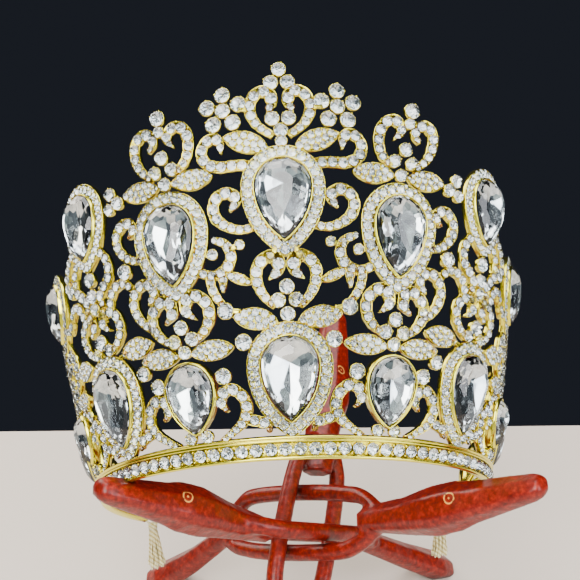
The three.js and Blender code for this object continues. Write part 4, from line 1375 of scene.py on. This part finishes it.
@dataclass(frozen=True)
class Tassel:
    """A thread ring, a bound head and a fall of threads that end in small knots."""

    side: str
    sign: int
    ring: float = 3.2
    wire: float = 0.45
    head: float = 2.2
    head_length: float = 5.5
    length: float = 25
    threads: int = 34
    thread_half: float = 0.36
    bound_half: float = 1.9
    fall_half: float = 3.9
    inward: float = 1.0
    rise: float = 0.3

    def origin(self, band: Band) -> tuple[Points, float]:
        """Finds where the ring's top lies and which way it faces.

        Args:
            band: The band that it hangs from.

        Returns:
            The ring's top and the angle that it faces.
        """
        angle = self.sign * (band.end + band.loop_reach / WALL.radius)
        near, far = WALL.set_square(angle, band.loop_s, np.array([[0, 0, 1.5], [0, 0, 2.5]]))
        outward = (far - near) * (1, 1, 0)
        outward /= np.linalg.norm(outward)
        return near - outward * self.inward + (0, 0, self.rise), math.atan2(outward[1], outward[0])

    def build(self, band: Band, thread: bpy.types.Material) -> bpy.types.Object:
        """Builds the tassel.

        Args:
            band: The band that it hangs from.
            thread: The thread's material.

        Returns:
            The tassel's object.
        """
        shell = Shell()
        chance = random.Random(11 + self.sign)
        rings = []
        for i in range(28):
            turn = i / 28 * 2 * math.pi
            middle = np.array([self.ring * math.cos(turn), 0, -self.ring + self.ring * math.sin(turn)])
            out = np.array([math.cos(turn), 0, math.sin(turn)])
            twist = i * 0.9
            rings.append(np.array([middle + self.wire * (1 + 0.18 * math.cos(2 * (a + twist)))
                                   * (out * math.cos(a) + np.array([0, 1, 0]) * math.sin(a))
                                   for a in (k / 8 * 2 * math.pi for k in range(8))]))
        shell.loft(rings, Finish.GOLD, closed=True)
        start = -2 * self.ring + 0.6
        levels = []
        for i in range(29):
            t = i / 28
            radius = self.head * (0.5 + 0.5 * math.sin(min(1, t * 3.2) * math.pi / 2)) * (1 - 0.12 * t)
            radius *= 1 + (0.05 * math.cos(t * 14 * 2 * math.pi) if t > 0.25 else 0)
            if 0.55 < t < 0.72:
                radius *= 0.86
            levels.append(np.array([(radius * math.cos(a), radius * math.sin(a), start - t * self.head_length)
                                    for a in (-k / 20 * 2 * math.pi for k in range(20))]))
        shell.loft(levels, Finish.GOLD)
        for i in range(self.threads):
            angle = i * 2.399
            reach = math.sqrt((i + 0.5) / self.threads)
            top, low = self.bound_half * reach, self.fall_half * reach
            drop = self.length - chance.uniform(0, 1.6)
            sway = chance.uniform(-0.3, 0.3)
            rows = []
            for k in range(11):
                t = k / 10
                spread = top + (low - top) * t
                bend = angle + sway * t + 0.12 * math.sin(t * 9 + i)
                knot = 1.9 if k == 9 else 1.0
                rows.append((spread * math.cos(bend), spread * math.sin(bend),
                             start - self.head_length + 0.8 - t * (drop - self.head_length + 0.8),
                             self.thread_half * knot))
            shell.loft([np.array([(x + r * math.cos(a), y + r * math.sin(a), z)
                                  for a in (-j / 6 * 2 * math.pi for j in range(6))]) for x, y, z, r in rows],
                       Finish.GOLD)
        origin, facing = self.origin(band)
        turn = np.array([[math.cos(facing), math.sin(facing), 0], [-math.sin(facing), math.cos(facing), 0],
                         [0, 0, 1]])
        placed = shell.mapped(lambda points: points @ turn + origin)
        piece = placed.build(f"thread_tassel_{self.side}", [thread])
        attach(piece, "root")
        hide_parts(f"tassel_{self.side}")
        return piece


# ---------------------------------------------------------------- the stand


@dataclass(frozen=True)
class Limb:
    """A carved limb: a paddle foot, an eye of two bars and a beaked head."""

    node: str
    foot: Row
    head: Row
    toe: float
    sway: tuple[float, float, float, float]
    half: float
    roll: float
    low: float = 56
    high: float = 150
    straight_low: float = 74
    straight_high: float = 128
    bar: float = 3.9
    ridges: tuple[float, ...] = (-8, 12, 58, 118, 168, 188, 240, 300)
    ridge_swell: float = 1.05
    eye_back: float = 37
    eye_aside: float = 8.2
    eye_up: float = 8.5
    voxel: float = 1.1
    soften_steps: int = 3

    def middle(self, along: float) -> tuple[float, float]:
        """Returns how far the limb bows aside and up, at a distance along it."""
        def ease(x: float) -> float:
            """Runs smoothly from 0 to 1."""
            x = min(1.0, max(0.0, x))
            return x * x * (3 - 2 * x)

        side_low, rise_low, side_high, rise_high = self.sway
        if along <= 72:
            t = ease((along - 8) / 64)
            return side_low * t, rise_low * t
        if along >= 130:
            t = 1 - ease((along - 130) / 46)
            return side_high * t, rise_high * t
        t = (along - 72) / 58
        return side_low + (side_high - side_low) * t, rise_low + (rise_high - rise_low) * t

    def spot(self, along: float, aside: float, up: float) -> Points:
        """Returns a point at a distance along the limb, off its middle line.

        Args:
            along: Distance from the foot.
            aside: Distance across.
            up: Distance above.

        Returns:
            The point in the model's frame.
        """
        display = np.array([WALL.seat[0], WALL.seat[1], 0])
        start, end = self.foot + display, self.head + display
        axis = (end - start) / np.linalg.norm(end - start)
        across = np.array([-axis[1], axis[0], 0])
        across /= np.linalg.norm(across)
        side, rise = self.middle(along)
        return start + axis * along + across * (side + aside) + np.cross(axis, across) * (rise + up)

    def tube(self, shell: Shell, rows: Sequence[tuple[float, float, float, float]],
             carved: bool = False) -> None:
        """Adds a bent bar of round or knife-cut section.

        Args:
            shell: The shell that gets it.
            rows: Distance along, offset in the eye's plane, half width and half height.
            carved: Whether it is cut to flat planes with ridges between them.
        """
        turn = math.radians(self.roll)
        if carved:
            stations = rows
            angles = [math.radians(degrees) for degrees in self.ridges]
            swell = self.ridge_swell
        else:
            widths = spline([(a, o, w) for a, o, w, _ in rows], 2.0)
            heights = spline([(a, o, h) for a, o, _, h in rows], 2.0)
            stations = [(*wide, high[2]) for wide, high in zip(widths, heights)]
            angles = [k / 20 * 2 * math.pi for k in range(20)]
            swell = 1.0
        rings = []
        for along, offset, width, height in stations:
            rings.append(np.array([self.spot(along, offset * math.cos(turn) + width * swell * math.cos(a),
                                             offset * math.sin(turn) + height * swell * math.sin(a))
                                   for a in angles]))
        shell.loft(rings, Finish.GOLD)

    def build(self) -> bpy.types.Object:
        """Builds the limb.

        Returns:
            The limb's object.
        """
        length = float(np.linalg.norm(np.array(self.head) - np.array(self.foot)))
        shell = Shell()
        head = [(92, 0, 6.8, 5), (68, 0, 8.2, 7.4), (52, 0, 10.4, 9.8), (40, 0, 10.2, 9.6), (33, 0, 9.0, 8.0),
                (18, 0, 7.7, 6.4), (5, 0, 6.2, 5.1), (1.2, 0, 4.9, 4.1), (0.2, 0, 3.2, 2.6)]
        self.tube(shell, [(length - back, o, w, h) for back, o, w, h in head], True)
        self.tube(shell, [(self.toe + 0.3, 0, 6.4, 4.6), (self.toe + 2.2, 0, 8.2, 6.1),
                          (self.toe + 10.8, 0, 9.4, 6.8), (30, 0, 7.6, 6), (66, 0, 6.8, 4.8)], True)
        for sign in (1, -1):
            rows = [(self.low, 2), ((self.low + self.straight_low) / 2, self.half * 0.74),
                    (self.straight_low, self.half), (self.straight_high, self.half),
                    ((self.high + self.straight_high) / 2, self.half * 0.74), (self.high, 2)]
            self.tube(shell, [(a, sign * o, self.bar, self.bar) for a, o in rows])
        piece = shell.build(f"carved_{self.node}", [])
        self.carve(piece)
        wood = RedLacquer(f"red_lacquered_wood_{self.node}", self.eyes(piece, length))
        piece.data.materials.clear()
        piece.data.materials.append(wood.material())
        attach(piece, "root")
        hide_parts(self.node)
        return piece

    def eyes(self, piece: bpy.types.Object, length: float) -> tuple[Row, ...]:
        """Finds where the two eyes lie on the head's cheeks.

        Args:
            piece: The carved limb.
            length: The distance from the foot to the beak's tip.

        Returns:
            The point of the skin nearest to each eye's place.
        """
        skin = np.array([tuple(vertex.co) for vertex in piece.data.vertices]) / MM
        places = [self.spot(length - self.eye_back, sign * self.eye_aside, self.eye_up) for sign in (1, -1)]
        return tuple(tuple(skin[np.linalg.norm(skin - place, axis=1).argmin()].tolist()) for place in places)

    def carve(self, piece: bpy.types.Object) -> None:
        """Fuses the limb's parts, softens them and levels the sole.

        Args:
            piece: The limb's object.
        """
        fuse = piece.modifiers.new("fuse", "REMESH")
        fuse.mode, fuse.voxel_size, fuse.use_smooth_shade = "VOXEL", self.voxel * MM, True
        soften = piece.modifiers.new("soften", "SMOOTH")
        soften.factor, soften.iterations = 0.5, self.soften_steps
        graph = bpy.context.evaluated_depsgraph_get()
        mesh = bpy.data.meshes.new_from_object(piece.evaluated_get(graph))
        piece.modifiers.clear()
        edit = bmesh.new()
        edit.from_mesh(mesh)
        cut = bmesh.ops.bisect_plane(edit, geom=edit.verts[:] + edit.edges[:] + edit.faces[:],
                                     plane_co=(0, 0, 0), plane_no=(0, 0, 1), clear_inner=True)
        rim = [g for g in cut["geom_cut"] if isinstance(g, bmesh.types.BMEdge)]
        if rim:
            bmesh.ops.edgeloop_fill(edit, edges=rim)
        for face in edit.faces:
            face.smooth = abs(face.normal.z) < 0.999 or face.calc_center_median().z > 1e-5
        edit.to_mesh(mesh)
        edit.free()
        piece.data = mesh


LIMBS = (
    Limb("stand_limb_left", (73, 57, 0), (-74.1, -44.6, 127), -3, (-5.2, 3, -0.7, -2), 12.6, 29),
    Limb("stand_limb_right", (-72.6, 57.7, 0), (93.7, -46.8, 122), -3, (6.4, 13.3, 5.5, 2), 12.9, 41),
    Limb("stand_limb_back", (-4, -66, 0), (24, 118, 118), -13.14, (6.5, 3.2, 1.6, 4.6), 12.7, 45),
)


# ---------------------------------------------------------------- the studio


@dataclass(frozen=True)
class Studio:
    """A pale floor, soft panels of light and the camera."""

    eye: Row = (2.68, -390.59, 352)
    pitch: float = math.radians(65.7)
    roll: float = 0.0395
    lens: float = 64.46
    bright_side: Row = (0.0, -0.98, 0.12)
    patches: float = 5.5
    contrast: float = 1.6
    wall: str = "#1E2128"
    shade: str = "#6C7278"
    pale: str = "#DDEBE5"
    window: str = "#FFFFFF"
    corners: tuple[tuple[float, float], ...] = ((-900, -1200), (900, -1200), (900, 126), (-900, 224))

    def floor(self) -> bpy.types.Object:
        """Lays the floor."""
        mesh = bpy.data.meshes.new("floor")
        mesh.from_pydata([(x * MM, y * MM, 0) for x, y in self.corners], [], [(0, 1, 2, 3)])
        mesh.materials.append(PaleFloor().material())
        floor = bpy.data.objects.new("floor", mesh)
        bpy.context.scene.collection.objects.link(floor)
        return floor

    def panel_of_light(self, name: str, place: Row, size: float, watts: float, colour: str) -> None:
        """Hangs a soft square light that faces the tiara.

        Args:
            name: The light's name.
            place: Where it hangs.
            size: Its side in metres.
            watts: Its power.
            colour: Its colour.
        """
        light = bpy.data.lights.new(name, "AREA")
        light.shape, light.size, light.energy = "SQUARE", size, watts
        light.color = linear(colour)[:3]
        lamp = bpy.data.objects.new(name, light)
        lamp.location = Vector(place) * MM
        aim = Vector((0, 0, 150)) * MM - lamp.location
        lamp.visible_camera = False
        lamp.rotation_euler = aim.to_track_quat("-Z", "Y").to_euler()
        bpy.context.scene.collection.objects.link(lamp)

    def room(self) -> None:
        """Builds the room's soft light: pale walls before the tiara, a dark one behind it."""
        world = bpy.data.worlds.new("studio_room")
        world.use_nodes = True
        bpy.context.scene.world = world
        tree = world.node_tree
        tree.nodes.clear()
        place = add_node(tree, "ShaderNodeTexCoord")
        facing = add_node(tree, "ShaderNodeVectorMath", {"operation": "DOT_PRODUCT", 1: self.bright_side},
                          {0: place.outputs["Generated"]})
        patches = add_node(tree, "ShaderNodeTexVoronoi", {"Scale": self.patches, "feature": "F1"},
                           {"Vector": place.outputs["Generated"]})
        mottle = add_node(tree, "ShaderNodeMath", {"operation": "MULTIPLY_ADD", 1: self.contrast},
                          {0: patches.outputs["Color"], 2: facing.outputs["Value"]})
        half = add_node(tree, "ShaderNodeMapRange", {"From Min": -1.0, "From Max": 1.0 + self.contrast},
                        {"Value": mottle.outputs["Value"]})
        hue = add_node(tree, "ShaderNodeValToRGB", links={"Fac": half.outputs["Result"]})
        set_ramp(hue, [(0.44, self.wall), (0.57, self.shade), (0.66, self.shade), (0.77, self.pale),
                       (0.87, self.window)])
        glow = add_node(tree, "ShaderNodeBackground", {"Strength": 1.0}, {"Color": hue.outputs["Color"]})
        end = tree.nodes.new("ShaderNodeOutputWorld")
        tree.links.new(glow.outputs["Background"], end.inputs["Surface"])

    def build(self) -> None:
        """Sets the floor, the lights, the room and the camera."""
        self.floor()
        self.panel_of_light("key_light", (-350, -1000, 1250), 0.9, 34, "#FFFDFA")
        self.panel_of_light("fill_light", (900, -700, 650), 0.8, 14, "#F4F8FF")
        self.panel_of_light("top_light", (0, 150, 1400), 0.9, 20, "#FFFFFF")
        self.panel_of_light("rim_light", (-700, 700, 700), 0.7, 10, "#FFF6E8")
        self.room()
        camera = bpy.data.objects.new("camera", bpy.data.cameras.new("camera"))
        camera.data.lens, camera.data.sensor_width = self.lens, 36
        camera.matrix_world = Matrix.Translation(Vector(self.eye) * MM) \
            @ Matrix.Rotation(self.pitch, 4, "X") @ Matrix.Rotation(-self.roll, 4, "Z")
        bpy.context.scene.collection.objects.link(camera)
        bpy.context.scene.camera = camera


def main() -> None:
    """Builds the tiara, its stand and the studio."""
    logging.basicConfig(level=logging.INFO, format="%(name)s: %(message)s")
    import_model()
    Studio().build()
    jewel = [CastGold().material(), CutCrystal().material(), MirrorFoil().material()]
    names = {0: "centre_panel", 1: "second_panel", 2: "third_panel", 3: "fourth_panel", 4: "fifth_panel",
             5: "end_panel"}
    for index in range(-5, 6):
        tag = "" if index == 0 else ("_left" if index < 0 else "_right")
        piece = Panel(names[abs(index)] + tag, index).build(jewel)
        LOG.info("%s: %d faces", piece.name, len(piece.data.polygons))
    band = Band()
    LOG.info("%s: %d faces", band.build(jewel).name, len(bpy.data.objects["stone_set_band"].data.polygons))
    for stone in main_stones():
        stone.build(jewel)
    LOG.info("main stones: %d", len(main_stones()))
    thread = RayonThread().material()
    for side, sign in (("left", -1), ("right", 1)):
        LOG.info("%s made", Tassel(side, sign).build(band, thread).name)
    for limb in LIMBS:
        piece = limb.build()
        LOG.info("%s: %d faces", piece.name, len(piece.data.polygons))


if __name__ == "__main__":
    main()
